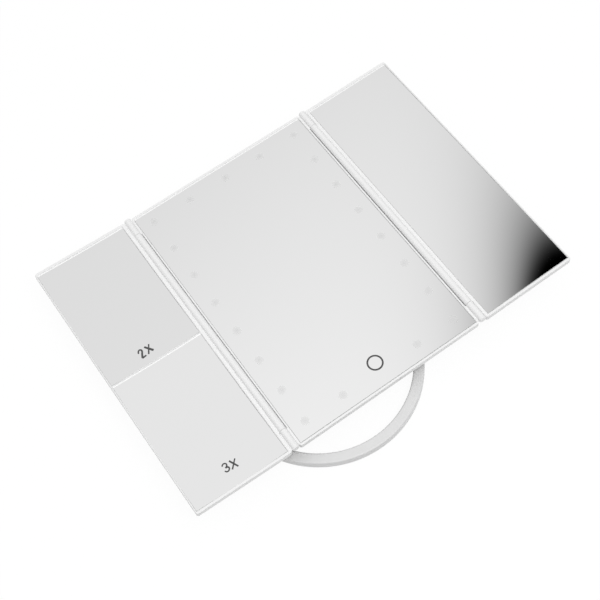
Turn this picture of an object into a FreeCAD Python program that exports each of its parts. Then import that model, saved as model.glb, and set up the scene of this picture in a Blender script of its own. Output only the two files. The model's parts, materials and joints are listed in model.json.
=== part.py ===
"""Trifold vanity mirror: a lit middle panel, two folding wings and a ring stand.

Every panel piece is modelled about the middle of the lit panel: X across it, Y up it,
Z out of its front, with Z = 0 on the front of the bezel. A wing piece is modelled about
its hinge line, with X running outwards, and a stand piece about the swivel, with -Y
running to the middle of the ring. Lengths are millimetres.
"""
import FreeCAD, Part
import math
import os
import Sketcher
from FreeCAD import Placement, Rotation, Vector

doc = FreeCAD.newDocument("trifold_vanity_mirror")
dims = doc.addObject("Spreadsheet::Sheet", "Dims")

DIMENSIONS = (
    # Middle panel
    ("pane_width", 178.0, "middle pane, across"),
    ("pane_height", 260.0, "middle pane, up"),
    ("lip_side", 1.8, "bezel beside the middle pane"),
    ("lip_end", 2.3, "bezel above and below the middle pane"),
    ("panel_depth", 6.5, "bezel front to back skin"),
    ("glass_sink", 0.7, "pane front below the bezel front"),
    ("glass_depth", 1.6, "flat pane"),
    ("lip_slope", 0.5, "sloping inner edge of a bezel, inwards and down"),
    ("lip_angle", 45.0, "that slope's angle in degrees"),
    ("glass_play", 0.15, "gap round a pane that sits in the middle of its seat"),
    ("glass_raise", 0.13, "pane above the middle of its seat"),
    ("glass_bevel", 0.2, "ground edge of a flat pane"),
    ("tape_depth", 0.3, "adhesive sheet"),
    ("tape_margin", 2.5, "adhesive sheet inside the pane's edge"),
    ("floor_depth", 1.0, "tray floor under a flat pane"),
    ("frame_wall", 1.6, "side wall of a bezel"),
    ("cover_wall", 1.7, "back skin of a panel"),
    ("corner_round", 2.0, "panel corner seen from the front"),
    ("edge_round", 0.6, "front edge of a bezel"),
    ("back_round", 1.2, "back edge of a panel"),
    ("rim_width", 1.0, "locating rim on a back skin"),
    ("rim_rise", 0.6, "locating rim on a back skin"),
    ("rim_play", 0.15, "gap beside a locating rim"),
    # Wings
    ("wings_apart", 0.8, "gap between the free edges of the closed wings"),
    ("wing_pane_short", 0.7, "wing pane, shorter than the middle pane"),
    ("wing_lip_hinge", 3.3, "wing bezel at the hinge"),
    ("wing_lip_free", 1.4, "wing bezel at the free edge"),
    ("fold_left_angle", 3.4, "left wing, degrees forward of flat"),
    ("fold_right_angle", 1.1, "right wing, degrees forward of flat"),
    ("divider_width", 1.3, "bar between the two magnifying panes"),
    ("divider_rise", 0.8, "middle of that bar above the panel's middle"),
    ("two_times_radius", 1600.0, "hollow of the 2X pane"),
    ("three_times_radius", 1200.0, "hollow of the 3X pane"),
    ("magnifier_depth", 1.3, "wall of a magnifying pane"),
    ("ledge_width", 4.0, "seat under the edge of a magnifying pane"),
    # Wing hinges
    ("barrel_radius", 3.2, "hinge knuckle"),
    ("barrel_chamfer", 0.5, "outer end of a knuckle"),
    ("hinge_rise", 0.3, "hinge line in front of the bezel front"),
    ("hinge_slit", 0.6, "middle bezel to long knuckle"),
    ("shelf_width", 2.2, "shelf under a long knuckle, outwards from the middle bezel"),
    ("shelf_drop", 3.5, "shelf under a long knuckle, below the bezel front"),
    ("shelf_depth", 1.0, "shelf under a long knuckle"),
    ("barrel_gap", 0.4, "short knuckle to wing bezel"),
    ("knuckle_length", 19.0, "short knuckle on the middle bezel"),
    ("knuckle_gap", 0.3, "short knuckle to long knuckle"),
    ("web_depth", 2.8, "web from a bezel to its knuckle"),
    ("pin_radius", 1.0, "hinge pin"),
    ("pin_length", 25.0, "hinge pin"),
    ("pin_cap", 1.2, "plastic outside the end of a hinge pin"),
    ("pin_play", 0.05, "running clearance round a pin"),
    ("pin_bore_spare", 0.5, "long knuckle's bore past the pin"),
    # Lights and touch switch
    ("led_inset_side", 13.56, "light column from the side of the middle pane"),
    ("led_inset_top", 12.55, "top light from the top of the middle pane"),
    ("led_inset_bottom", 13.45, "bottom light from the bottom of the middle pane"),
    ("led_hole_radius", 3.0, "light hole in the tray floor"),
    ("led_side", 2.8, "light package"),
    ("led_rise", 1.0, "light package off its board"),
    ("strip_width", 8.0, "light board"),
    ("strip_depth", 1.0, "light board"),
    ("strip_overrun", 4.0, "light board past its end light"),
    ("touch_rise", 7.25, "touch switch above the bottom lights"),
    ("touch_hole_radius", 6.4, "touch switch hole in the tray floor"),
    ("electrode_radius", 6.0, "touch electrode"),
    ("touch_board_width", 18.0, "touch board across"),
    ("touch_board_height", 11.0, "touch board upwards from the light board"),
    # Housing on the back
    ("housing_width", 104.0, "housing across"),
    ("housing_depth", 10.8, "housing behind the panel"),
    ("housing_wall", 2.0, "housing skin"),
    ("housing_corner", 12.0, "housing corner"),
    ("housing_edge", 1.5, "rounding of the housing's back edge"),
    ("boss_radius", 4.0, "screw boss on the cover"),
    ("boss_post_radius", 3.2, "screw post on the tray"),
    ("boss_inset_side", 8.0, "cover screw from the housing's side"),
    ("boss_inset_end", 9.0, "cover screw from the housing's end"),
    ("boss_split", 9.5, "cover boss meets tray post, behind the front"),
    ("screw_sink", 4.0, "counterbore of a cover screw"),
    ("screw_head_radius", 2.3, "cover screw"),
    ("screw_head_depth", 1.6, "cover screw"),
    ("screw_radius", 1.25, "cover screw"),
    ("screw_length", 8.0, "cover screw under its head"),
    ("screw_play", 0.15, "gap round a cover screw"),
    # Cells, tray and door
    ("cell_radius", 5.25, "cell"),
    ("cell_length", 43.5, "cell without its button"),
    ("cell_button", 1.0, "cell's button"),
    ("cell_button_radius", 1.9, "cell's button"),
    ("cell_pitch", 11.3, "cell to cell"),
    ("cell_play", 0.5, "gap beside the outer cells"),
    ("cell_lift", 0.1, "cell under the tray's roof"),
    ("tray_side", 1.2, "side wall of the cell tray"),
    ("tray_end", 1.0, "end wall of the cell tray"),
    ("tray_roof", 0.8, "roof of the cell tray"),
    ("tray_clear", 0.1, "tray roof under the bezel's floor"),
    ("tray_hub_gap", 0.5, "tray to the hub boss"),
    ("contact_depth", 0.3, "contact plate"),
    ("contact_side", 8.6, "contact plate"),
    ("spring_length", 3.4, "contact spring as fitted"),
    ("spring_radius", 2.8, "contact spring, middle of its wire"),
    ("spring_wire", 0.35, "radius of the spring's wire"),
    ("spring_turns", 2.5, "contact spring"),
    ("door_play", 0.15, "gap round the cell door"),
    ("door_lip", 4.8, "door's end lip, inwards from its plate"),
    ("rail_width", 1.0, "door runner"),
    ("rail_depth", 0.8, "door runner"),
    ("rail_play", 0.1, "gap round a door runner"),
    ("grip_groove", 0.6, "door's finger grooves"),
    ("grip_pitch", 2.4, "door's finger grooves"),
    ("grip_start", 6.8, "first finger groove from the door's end"),
    ("grip_length", 18.0, "door's finger grooves"),
    # Control board
    ("board_inset_left", 14.0, "board's left end from the housing's inner side"),
    ("board_inset_right", 2.5, "board's right end from the housing's inner side"),
    ("board_inset_top", 14.0, "board's upper edge from the housing's end"),
    ("board_height", 30.0, "board's lower edge to its upper edge"),
    ("board_depth", 1.6, "board"),
    ("board_behind", 9.4, "board's front face behind the bezel front"),
    ("board_hole_inset", 4.0, "board screw from the board's edges"),
    ("board_hole_right", 12.0, "right board screws from the board's right end"),
    ("board_boss_radius", 2.5, "boss under the board"),
    ("board_screw_radius", 1.0, "board screw"),
    ("board_screw_head", 1.9, "board screw's head"),
    ("board_screw_length", 4.5, "board screw under its head"),
    ("capacitor_x", 14.0, "reservoir capacitor from the middle"),
    ("capacitor_y", -7.0, "reservoir capacitor from the board's middle"),
    ("capacitor_radius", 2.5, "reservoir capacitor"),
    ("capacitor_rise", 4.0, "reservoir capacitor"),
    ("plug_x", 29.0, "outer face of a lead's plug from the middle"),
    ("plug_length", 4.0, "lead's plug"),
    ("plug_width", 8.0, "lead's plug"),
    ("plug_rise", 3.4, "lead's plug off the board"),
    ("usb_drop", 21.0, "power socket below the board's upper edge"),
    ("usb_width", 7.6, "power socket"),
    ("usb_rise", 2.9, "power socket"),
    ("usb_length", 5.5, "power socket"),
    ("usb_wall", 0.4, "power socket's shell"),
    ("usb_tongue", 4.4, "power socket's contact tongue"),
    ("usb_recess", 0.3, "power socket behind the housing's face"),
    ("usb_play", 0.3, "gap round the power socket"),
    ("switch_drop", 8.0, "slide switch below the board's upper edge"),
    ("switch_width", 10.0, "slide switch along the housing"),
    ("switch_rise", 4.0, "slide switch off its board"),
    ("switch_length", 5.2, "slide switch into the housing"),
    ("switch_inset", 0.2, "slide switch behind the housing's wall"),
    ("knob_width", 3.0, "switch knob"),
    ("knob_rise", 2.0, "switch knob"),
    ("knob_proud", 1.8, "switch knob outside the housing"),
    ("knob_depth", 3.0, "switch knob inside the switch"),
    ("knob_travel", 2.5, "switch knob"),
    ("knob_play", 0.2, "gap round the switch knob"),
    ("wire_radius", 0.45, "inner lead"),
    ("wire_bend", 1.8, "inner lead's bends"),
    ("wire_apart", 2.5, "one power lead to the other"),
    ("wire_climb", 4.0, "length over which a lead changes level"),
    ("wire_clear", 2.5, "lead beside the hub boss"),
    ("wire_tray_x", 12.0, "first power lead at the cell tray, from the middle"),
    ("wire_board_x", 14.0, "first power lead at the board, from the middle"),
    # Swivel and ring stand
    ("swivel_angle", 23.9, "ring swung to the left of straight down, degrees"),
    ("table_radius", 24.0, "turntable"),
    ("table_play", 0.3, "gap round the turntable"),
    ("table_depth", 2.6, "turntable"),
    ("table_proud", 0.2, "turntable outside the housing"),
    ("wear_depth", 0.7, "slip ring"),
    ("wear_inner", 15.0, "slip ring"),
    ("run_gap", 0.1, "running gap at the turntable's faces"),
    ("hub_wall", 2.7, "hub boss beside the turntable"),
    ("hub_floor", 2.4, "hub boss in front of the turntable"),
    ("spigot_radius", 6.0, "turntable's spigot"),
    ("spigot_play", 0.08, "running clearance round the spigot"),
    ("washer_radius", 10.0, "swivel washer"),
    ("washer_depth", 0.6, "swivel washer"),
    ("hub_screw_radius", 2.0, "swivel screw"),
    ("hub_screw_head", 4.0, "swivel screw's head"),
    ("hub_screw_head_depth", 2.2, "swivel screw's head"),
    ("hub_screw_length", 7.0, "swivel screw under its head"),
    ("block_width", 29.0, "hinge block along the tilt pin"),
    ("block_thick", 14.0, "hinge block across the tilt pin"),
    ("block_round", 3.0, "hinge block's upright edges"),
    ("ring_radius", 83.2, "middle of the ring's rim"),
    ("ring_width", 9.4, "ring's rim, radially"),
    ("ring_height", 9.6, "ring's rim, off the panel"),
    ("ring_round", 1.5, "ring's rim edges"),
    ("ring_clear", 0.6, "ring to turntable"),
    ("ear_gap", 0.5, "ring's ear to hinge block"),
    ("ear_length", 9.0, "ring's ear along the tilt pin"),
    ("tilt_pin_radius", 1.5, "tilt pin"),
    ("tilt_pin_grip", 6.5, "tilt pin inside each ear"),
    ("tilt_washer_depth", 0.4, "tilt washer"),
    ("tilt_washer_radius", 4.3, "tilt washer"),
    ("strip_grip_width", 5.0, "rubber strip under the ring"),
    ("strip_grip_depth", 1.6, "rubber strip under the ring"),
    ("foot_proud", 0.4, "rubber below the plastic"),
    ("foot_play", 0.1, "gap beside a rubber piece"),
    ("foot_width", 22.0, "rubber pad under the hinge block"),
    ("foot_thick", 8.0, "rubber pad under the hinge block"),
)

for row, (alias, number, meaning) in enumerate(DIMENSIONS, start=1):
    dims.set(f"A{row}", meaning)
    dims.set(f"B{row}", str(number))
    dims.setAlias(f"B{row}", alias)
doc.recompute()

# Two heights closer than this count as one.
SAME = 1e-4

LIGHT_ROWS = 8
CELL_COUNT = 4
GRIP_GROOVES = 4

# Square parts on the control board: name, middle from the board's middle, then the size.
BOARD_PARTS = (
    ("chip", -1.0, 0.0, 10.0, 10.0, 1.6),
    ("driver", -17.5, 0.0, 5.0, 5.0, 1.2),
    ("inductor", 13.0, 5.0, 6.0, 6.0, 3.0),
)


def value(expression):
    """The number that an expression of the sheet's dimensions gives."""
    result = dims.evalExpression(expression.replace("Dims.", ""))
    return float(getattr(result, "Value", result))


# Places worked out from the driving dimensions, as expressions of the sheet.
HALF_W = "(Dims.pane_width / 2 + Dims.lip_side)"
HALF_H = "(Dims.pane_height / 2 + Dims.lip_end)"
HINGE_X = f"({HALF_W} + Dims.hinge_slit + Dims.barrel_radius)"
WING_NEAR = "(Dims.barrel_radius + Dims.barrel_gap)"
PANE_NEAR = f"({WING_NEAR} + Dims.wing_lip_hinge)"
WING_FAR = f"({HINGE_X} - Dims.wings_apart / 2)"
PANE_FAR = f"({WING_FAR} - Dims.wing_lip_free)"
WING_PANE_W = f"({PANE_FAR} - {PANE_NEAR})"
WING_PANE_H = "(Dims.pane_height - Dims.wing_pane_short)"
WING_W = f"({WING_FAR} - {WING_NEAR})"
WING_MID = f"(({WING_NEAR} + {WING_FAR}) / 2)"
PANE_MID = f"(({PANE_NEAR} + {PANE_FAR}) / 2)"
LONG_HALF = f"({HALF_H} - Dims.knuckle_length - Dims.knuckle_gap)"
PIN_OUT = f"({HALF_H} - Dims.pin_cap)"
PIN_IN = f"({PIN_OUT} - Dims.pin_length)"

GLASS_FRONT = "(-Dims.glass_sink)"
GLASS_BACK = f"({GLASS_FRONT} - Dims.glass_depth)"
TAPE_BACK = f"({GLASS_BACK} - Dims.tape_depth)"
FLOOR_BACK = f"({TAPE_BACK} - Dims.floor_depth)"
SKIN_FRONT = "(Dims.cover_wall - Dims.panel_depth)"
SKIN_BACK = "(-Dims.panel_depth)"
HOUSING_BACK = f"({SKIN_BACK} - Dims.housing_depth)"
HOUSING_IN = f"({HOUSING_BACK} + Dims.housing_wall)"

STRIP_FRONT = f"({SKIN_FRONT} + Dims.strip_depth)"
BOARD_FRONT = "(-Dims.board_behind)"
BOARD_BACK = f"({BOARD_FRONT} - Dims.board_depth)"
HOUSING_SIDE = "(Dims.housing_width / 2)"
HOUSING_IN_SIDE = f"({HOUSING_SIDE} - Dims.housing_wall)"

TABLE_BACK = f"({HOUSING_BACK} - Dims.table_proud)"
TABLE_FRONT = f"({TABLE_BACK} + Dims.table_depth)"
WEAR_BACK = f"({TABLE_FRONT} + Dims.run_gap)"
RECESS_FLOOR = f"({WEAR_BACK} + Dims.wear_depth)"
HUB_FRONT = f"({RECESS_FLOOR} + Dims.hub_floor)"
SPIGOT_FRONT = f"({HUB_FRONT} + Dims.run_gap)"
HUB_RADIUS = "(Dims.table_radius + Dims.table_play + Dims.hub_wall)"
TILT_Z = f"({TABLE_BACK} - Dims.ring_clear - Dims.ring_height / 2)"
RING_BACK = f"({TILT_Z} - Dims.ring_height / 2)"
EAR_NEAR = "(Dims.block_width / 2 + Dims.ear_gap)"
EAR_FAR = f"({EAR_NEAR} + Dims.ear_length)"

TRAY_INNER_W = (f"({CELL_COUNT - 1} * Dims.cell_pitch + 2 * Dims.cell_radius"
                " + 2 * Dims.cell_play)")
CELL_TOTAL = "(Dims.cell_length + Dims.cell_button)"
TRAY_HIGH = f"(-{HUB_RADIUS} - Dims.tray_hub_gap)"
CELLS_HIGH = f"({TRAY_HIGH} - Dims.tray_end)"
CELLS_LOW = f"({CELLS_HIGH} - {CELL_TOTAL} - Dims.spring_length - 2 * Dims.contact_depth)"
TRAY_LOW = f"({CELLS_LOW} - Dims.tray_end)"
HOUSING_END = f"(Dims.housing_wall - {TRAY_LOW})"
BOSS_X = f"({HOUSING_SIDE} - Dims.boss_inset_side)"
BOSS_Y = f"({HOUSING_END} - Dims.boss_inset_end)"
ROOF_FRONT = f"({FLOOR_BACK} - Dims.tray_clear)"
ROOF_BACK = f"({ROOF_FRONT} - Dims.tray_roof)"
CELL_Z = f"({ROOF_BACK} - Dims.cell_lift - Dims.cell_radius)"

LED_COLUMN = "(Dims.pane_width / 2 - Dims.led_inset_side)"
LED_TOP = "(Dims.pane_height / 2 - Dims.led_inset_top)"
LED_BOTTOM = "(Dims.pane_height / 2 - Dims.led_inset_bottom)"
LED_SPACING = f"({LED_COLUMN} / 2)"
TOUCH_DROP = f"({LED_BOTTOM} - Dims.touch_rise)"

BOARD_LEFT = f"({HOUSING_IN_SIDE} - Dims.board_inset_left)"
BOARD_RIGHT = f"({HOUSING_IN_SIDE} - Dims.board_inset_right)"
BOARD_HIGH = f"({HOUSING_END} - Dims.board_inset_top)"
BOARD_LOW = f"({BOARD_HIGH} - Dims.board_height)"
BOARD_MID = f"(({BOARD_LOW} + {BOARD_HIGH}) / 2)"
USB_Y = f"({BOARD_HIGH} - Dims.usb_drop)"
SWITCH_Y = f"({BOARD_HIGH} - Dims.switch_drop)"
DOOR_INNER = f"({HOUSING_IN} - Dims.door_play)"
DOOR_LIP_FRONT = f"({HOUSING_IN} + Dims.door_lip)"
RAIL_BACK = f"({HOUSING_BACK} + (Dims.housing_wall - Dims.rail_depth) / 2)"

USB_Z = f"({BOARD_BACK} - Dims.usb_rise / 2)"
SWITCH_Z = f"({BOARD_BACK} - Dims.switch_rise / 2)"
SWITCH_OUT = f"({HOUSING_IN_SIDE} - Dims.switch_inset)"


# ---------------------------------------------------------------- small builders

def body(label):
    made = doc.addObject("PartDesign::Body", label)
    made.Label = label
    return made


def sketch(owner, name, plane="XY_Plane", at="0"):
    """A sketch on one of the body's origin planes, moved along the plane's normal."""
    made = owner.newObject("Sketcher::SketchObject", name)
    base = [item for item in owner.Origin.OriginFeatures if item.Role == plane][0]
    made.AttachmentSupport = [(base, "")]
    made.MapMode = "FlatFace"
    made.setExpression("AttachmentOffset.Base.z", at)
    return made


def drive(made, kind, refs, expression, tag):
    """A named sketch constraint whose size is an expression of the sheet."""
    index = made.addConstraint(Sketcher.Constraint(kind, *refs, value(expression)))
    made.renameConstraint(index, tag)
    made.setExpression(f"Constraints.{tag}", expression)


def rectangle(made, x, y, width, height, tag="box"):
    """A rectangle about (x, y) in the sketch."""
    left, low = f"{x} - ({width}) / 2", f"{y} - ({height}) / 2"
    x_low, y_low = value(left), value(low)
    x_high, y_high = x_low + value(width), y_low + value(height)
    corners = [Vector(x_low, y_low, 0), Vector(x_high, y_low, 0),
               Vector(x_high, y_high, 0), Vector(x_low, y_high, 0)]
    first = made.GeometryCount
    for index in range(4):
        made.addGeometry(Part.LineSegment(corners[index], corners[(index + 1) % 4]))
    for index in range(4):
        after = first + (index + 1) % 4
        made.addConstraint(Sketcher.Constraint("Coincident", first + index, 2, after, 1))
        level = "Horizontal" if index % 2 == 0 else "Vertical"
        made.addConstraint(Sketcher.Constraint(level, first + index))
    drive(made, "DistanceX", (first, 1, first, 2), width, f"{tag}_width")
    drive(made, "DistanceY", (first + 1, 1, first + 1, 2), height, f"{tag}_height")
    drive(made, "DistanceX", (-1, 1, first, 1), left, f"{tag}_left")
    drive(made, "DistanceY", (-1, 1, first, 1), low, f"{tag}_low")


def rounded(made, width, height, radius):
    """A rectangle about the sketch's own middle, with its corners rounded."""
    half_x, half_y, r = value(width) / 2, value(height) / 2, value(radius)
    normal = Vector(0, 0, 1)
    for index, (x_sign, y_sign) in enumerate(((1, -1), (1, 1), (-1, 1), (-1, -1))):
        centre = Vector(x_sign * (half_x - r), y_sign * (half_y - r), 0)
        turned = Rotation(normal, 90 * index)
        start, end = -math.pi / 2 + index * math.pi / 2, index * math.pi / 2
        made.addGeometry(Part.ArcOfCircle(Part.Circle(centre, normal, r), start, end))
        run = half_y - r if index % 2 == 0 else half_x - r
        first = centre + turned.multVec(Vector(r, 0, 0))
        made.addGeometry(Part.LineSegment(first, first + turned.multVec(Vector(0, 2 * run, 0))))
    for index in range(8):
        made.addConstraint(Sketcher.Constraint("Tangent", index, 2, (index + 1) % 8, 1))
    for line, level in ((1, "Vertical"), (3, "Horizontal"), (5, "Vertical"), (7, "Horizontal")):
        made.addConstraint(Sketcher.Constraint(level, line))
    for arc in (2, 4, 6):
        made.addConstraint(Sketcher.Constraint("Equal", 0, arc))
    drive(made, "Radius", (0,), radius, "corner_radius")
    drive(made, "DistanceX", (6, 3, 0, 3), f"({width}) - 2 * {radius}", "between_x")
    drive(made, "DistanceY", (0, 3, 2, 3), f"({height}) - 2 * {radius}", "between_y")
    drive(made, "DistanceX", (-1, 1, 0, 3), f"({width}) / 2 - {radius}", "corner_x")
    drive(made, "DistanceY", (-1, 1, 2, 3), f"({height}) / 2 - {radius}", "corner_y")


def circle(made, x, y, radius, tag="round"):
    first = made.GeometryCount
    centre = Vector(value(x), value(y), 0)
    made.addGeometry(Part.Circle(centre, Vector(0, 0, 1), value(radius)))
    drive(made, "Radius", (first,), radius, f"{tag}_radius")
    drive(made, "DistanceX", (-1, 1, first, 3), x, f"{tag}_x")
    drive(made, "DistanceY", (-1, 1, first, 3), y, f"{tag}_y")


def pad(owner, profile, length, name, reverse=False):
    made = owner.newObject("PartDesign::Pad", name)
    made.Profile = profile
    made.setExpression("Length", length)
    made.Reversed = reverse
    doc.recompute()
    return made


def pocket(owner, profile, length, name, forward=False):
    """A cut from the sketch against its normal, or along it when forward is true."""
    before = owner.Shape.Volume
    made = owner.newObject("PartDesign::Pocket", name)
    made.Profile = profile
    made.setExpression("Length", length)
    made.Reversed = forward
    doc.recompute()
    if not owner.Shape.Volume < before:
        raise RuntimeError(f"{owner.Label}: {name} cuts nothing")
    return made


def edges_where(feature, test):
    return [f"Edge{index}" for index, edge in enumerate(feature.Shape.Edges, start=1)
            if test(edge)]


def fillet(owner, base, test, radius, name, kind="Fillet"):
    made = owner.newObject(f"PartDesign::{kind}", name)
    made.Base = (base, edges_where(base, test))
    made.setExpression("Radius" if kind == "Fillet" else "Size", radius)
    doc.recompute()
    return made


def upright(edge):
    """True for a straight edge that runs along Z."""
    if len(edge.Vertexes) != 2:
        return False
    low, high = edge.Vertexes[0].Point, edge.Vertexes[1].Point
    return abs(low.x - high.x) + abs(low.y - high.y) < SAME


def level_at(edge, height):
    """True for an edge that lies in the plane Z = height."""
    box = edge.BoundBox
    return abs(box.ZMin - height) < SAME and abs(box.ZMax - height) < SAME


def place(made, x="0", y="0", z="0"):
    for axis, expression in zip("xyz", (x, y, z)):
        made.setExpression(f"Placement.Base.{axis}", expression)
    return made


def block(name, x, y, z, length, width, height):
    """A box that starts at (x, y, z)."""
    made = doc.addObject("Part::Box", name)
    for prop, expression in (("Length", length), ("Width", width), ("Height", height)):
        made.setExpression(prop, expression)
    return place(made, x, y, z)


def rod(name, x, y, z, radius, height, along="Z"):
    """A cylinder that starts at (x, y, z) and runs along +X, +Y or +Z."""
    made = doc.addObject("Part::Cylinder", name)
    made.setExpression("Radius", radius)
    made.setExpression("Height", height)
    turned = {"X": Rotation(Vector(0, 1, 0), 90), "Y": Rotation(Vector(1, 0, 0), -90),
              "Z": Rotation()}
    made.Placement = Placement(Vector(), turned[along])
    return place(made, x, y, z)


def fuse(label, *members):
    made = doc.addObject("Part::MultiFuse", label)
    made.Label = label
    made.Shapes = list(members)
    return made


def cut(label, base, *tools):
    made = doc.addObject("Part::Cut", label)
    made.Label = label
    made.Base = base
    made.Tool = tools[0] if len(tools) == 1 else fuse(f"{label}_tools", *tools)
    return made


def group(label, *members):
    """One sub-part that holds one or more separate solids."""
    made = doc.addObject("Part::Compound", label)
    made.Label = label
    made.Links = list(members)
    return made


PIECES = {"middle": [], "left_wing": [], "right_wing": [], "swivel": [], "stand": [],
          "door": [], "knob": []}


def keep(where, made):
    """Lists a finished sub-part under the part of the mirror that carries it."""
    PIECES[where].append(made)
    return made


# ---------------------------------------------------------------- panels

def outline(owner, x, width, low, rise, name):
    """The rounded outline of a panel, from the height low upwards by rise."""
    shape = sketch(owner, f"{name}_outline", at=low)
    rectangle(shape, x, "0", width, f"2 * {HALF_H}")
    made = pad(owner, shape, rise, f"{name}_plate")
    return fillet(owner, made, upright, "Dims.corner_round", f"{name}_corners")


def bezel(label, x, width):
    """The outer block of a bezel, with its corners and front edges rounded."""
    made = body(label)
    base = outline(made, x, width, SKIN_FRONT, f"-{SKIN_FRONT}", label)
    fillet(made, base, lambda edge: level_at(edge, 0.0), "Dims.edge_round",
           f"{label}_edge")
    return made


def sloping_lip(owner, x, y, width, height, tag):
    """The inner edge of a bezel, which slopes down to a pane's opening."""
    mouth = sketch(owner, f"{tag}_mouth")
    grown = "2 * (Dims.glass_play + Dims.lip_slope)"
    rectangle(mouth, x, y, f"{width} + {grown}", f"{height} + {grown}")
    made = pocket(owner, mouth, "Dims.lip_slope", f"{tag}_slope")
    made.setExpression("TaperAngle", "-Dims.lip_angle")
    doc.recompute()


def flat_seat(owner, x, width, height):
    """The recess for a flat pane and its adhesive sheet."""
    sloping_lip(owner, x, "0", width, height, owner.Label)
    seat = sketch(owner, f"{owner.Label}_seat")
    grown = "2 * Dims.glass_play"
    rectangle(seat, x, "0", f"{width} + {grown}", f"{height} + {grown}")
    pocket(owner, seat, f"-{TAPE_BACK}", f"{owner.Label}_seat_cut")


def back_hollow(owner, x, width, height="2 * " + HALF_H):
    """The hollow behind a tray floor, inside the side walls."""
    hollow = sketch(owner, f"{owner.Label}_hollow", at=SKIN_FRONT)
    rectangle(hollow, x, "0", f"{width} - 2 * Dims.frame_wall",
              f"{height} - 2 * Dims.frame_wall")
    pocket(owner, hollow, f"{FLOOR_BACK} - {SKIN_FRONT}", f"{owner.Label}_hollow_cut",
           forward=True)


def rim(owner, x, y, width, height, tag):
    """A low rim that locates a back skin inside the hollow of its bezel."""
    ring = sketch(owner, f"{owner.Label}_{tag}", at=SKIN_FRONT)
    outer_w, outer_h = f"{width} - 2 * Dims.rim_play", f"{height} - 2 * Dims.rim_play"
    rectangle(ring, x, y, outer_w, outer_h, "outer")
    rectangle(ring, x, y, f"{outer_w} - 2 * Dims.rim_width",
              f"{outer_h} - 2 * Dims.rim_width", "inner")
    pad(owner, ring, "Dims.rim_rise", f"{owner.Label}_{tag}_wall")


def skin(label, x, width):
    """The plate that closes the back of a panel, with its back edge rounded."""
    made = body(label)
    base = outline(made, x, width, SKIN_BACK, "Dims.cover_wall", label)
    level = value(SKIN_BACK)
    fillet(made, base, lambda edge: level_at(edge, level), "Dims.back_round",
           f"{label}_edge")
    return made


def flat_pane(label, x, width, height):
    made = body(label)
    face = sketch(made, f"{label}_face", at=GLASS_BACK)
    rectangle(face, x, "Dims.glass_raise", width, height)
    base = pad(made, face, "Dims.glass_depth", f"{label}_sheet")
    front = value(GLASS_FRONT)
    fillet(made, base, lambda edge: level_at(edge, front), "Dims.glass_bevel",
           f"{label}_bevel", "Chamfer")
    return made


def barrel(owner, x, z, low, high, name, ends):
    """A knuckle along Y from low to high, with chamfered outer ends.

    It is the half section beside the hinge line, turned about that line.
    """
    made = owner.newObject("Sketcher::SketchObject", f"{name}_section")
    base = [item for item in owner.Origin.OriginFeatures if item.Role == "XY_Plane"][0]
    made.AttachmentSupport = [(base, "")]
    made.MapMode = "FlatFace"
    made.setExpression("AttachmentOffset.Base.x", x)
    made.setExpression("AttachmentOffset.Base.z", z)
    rectangle(made, "Dims.barrel_radius / 2", f"(({low}) + ({high})) / 2",
              "Dims.barrel_radius", f"({high}) - ({low})")
    turned = owner.newObject("PartDesign::Revolution", name)
    turned.Profile = made
    turned.ReferenceAxis = (made, ["V_Axis"])
    turned.Angle = 360
    doc.recompute()
    if ends:
        tips = [value(end) for end in ends]
        radius = value("Dims.barrel_radius")

        def at_tip(edge):
            curve = getattr(edge, "Curve", None)
            centre = getattr(curve, "Center", None)
            round_one = isinstance(curve, Part.Circle) and abs(curve.Radius - radius) < SAME
            return round_one and any(abs(centre.y - tip) < SAME for tip in tips)

        fillet(owner, turned, at_tip, "Dims.barrel_chamfer", f"{name}_tip", "Chamfer")
    return turned


def web(owner, x_low, x_high, y_low, y_high, name):
    """The flat web from a bezel to the middle of its knuckle, flush with the front."""
    made = sketch(owner, f"{name}_plan")
    rectangle(made, f"(({x_low}) + ({x_high})) / 2", f"(({y_low}) + ({y_high})) / 2",
              f"({x_high}) - ({x_low})", f"({y_high}) - ({y_low})")
    pad(owner, made, "Dims.web_depth", name, reverse=True)


def pin_bore(owner, x, z, start, length, radius, name, upward):
    """A round bore along the hinge line from the height start, up or down by length."""
    made = sketch(owner, f"{name}_mouth", plane="XZ_Plane", at=f"-({start})")
    circle(made, x, z, radius)
    pocket(owner, made, length, name, forward=not upward)


# ---------------------------------------------------------------- middle bezel

def light_places():
    """The 21 lights: two columns of eight, three across the top, two across the bottom."""
    step = f"(({LED_TOP} + {LED_BOTTOM}) / {LIGHT_ROWS - 1})"
    places = []
    for side in ("-", ""):
        for row in range(LIGHT_ROWS):
            places.append((f"({side}{LED_COLUMN})", f"({LED_TOP} - {row} * {step})"))
    for across in (f"(-{LED_SPACING})", "0", LED_SPACING):
        places.append((across, LED_TOP))
    for across in (f"(-{LED_SPACING})", LED_SPACING):
        places.append((across, f"(-{LED_BOTTOM})"))
    return places


def screw_places():
    """Six cover screws: four in the housing's corners and one at each side."""
    return [(f"({x_sign}{BOSS_X})", y) for x_sign in ("-", "")
            for y in (f"(-{BOSS_Y})", "0", BOSS_Y)]


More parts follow.
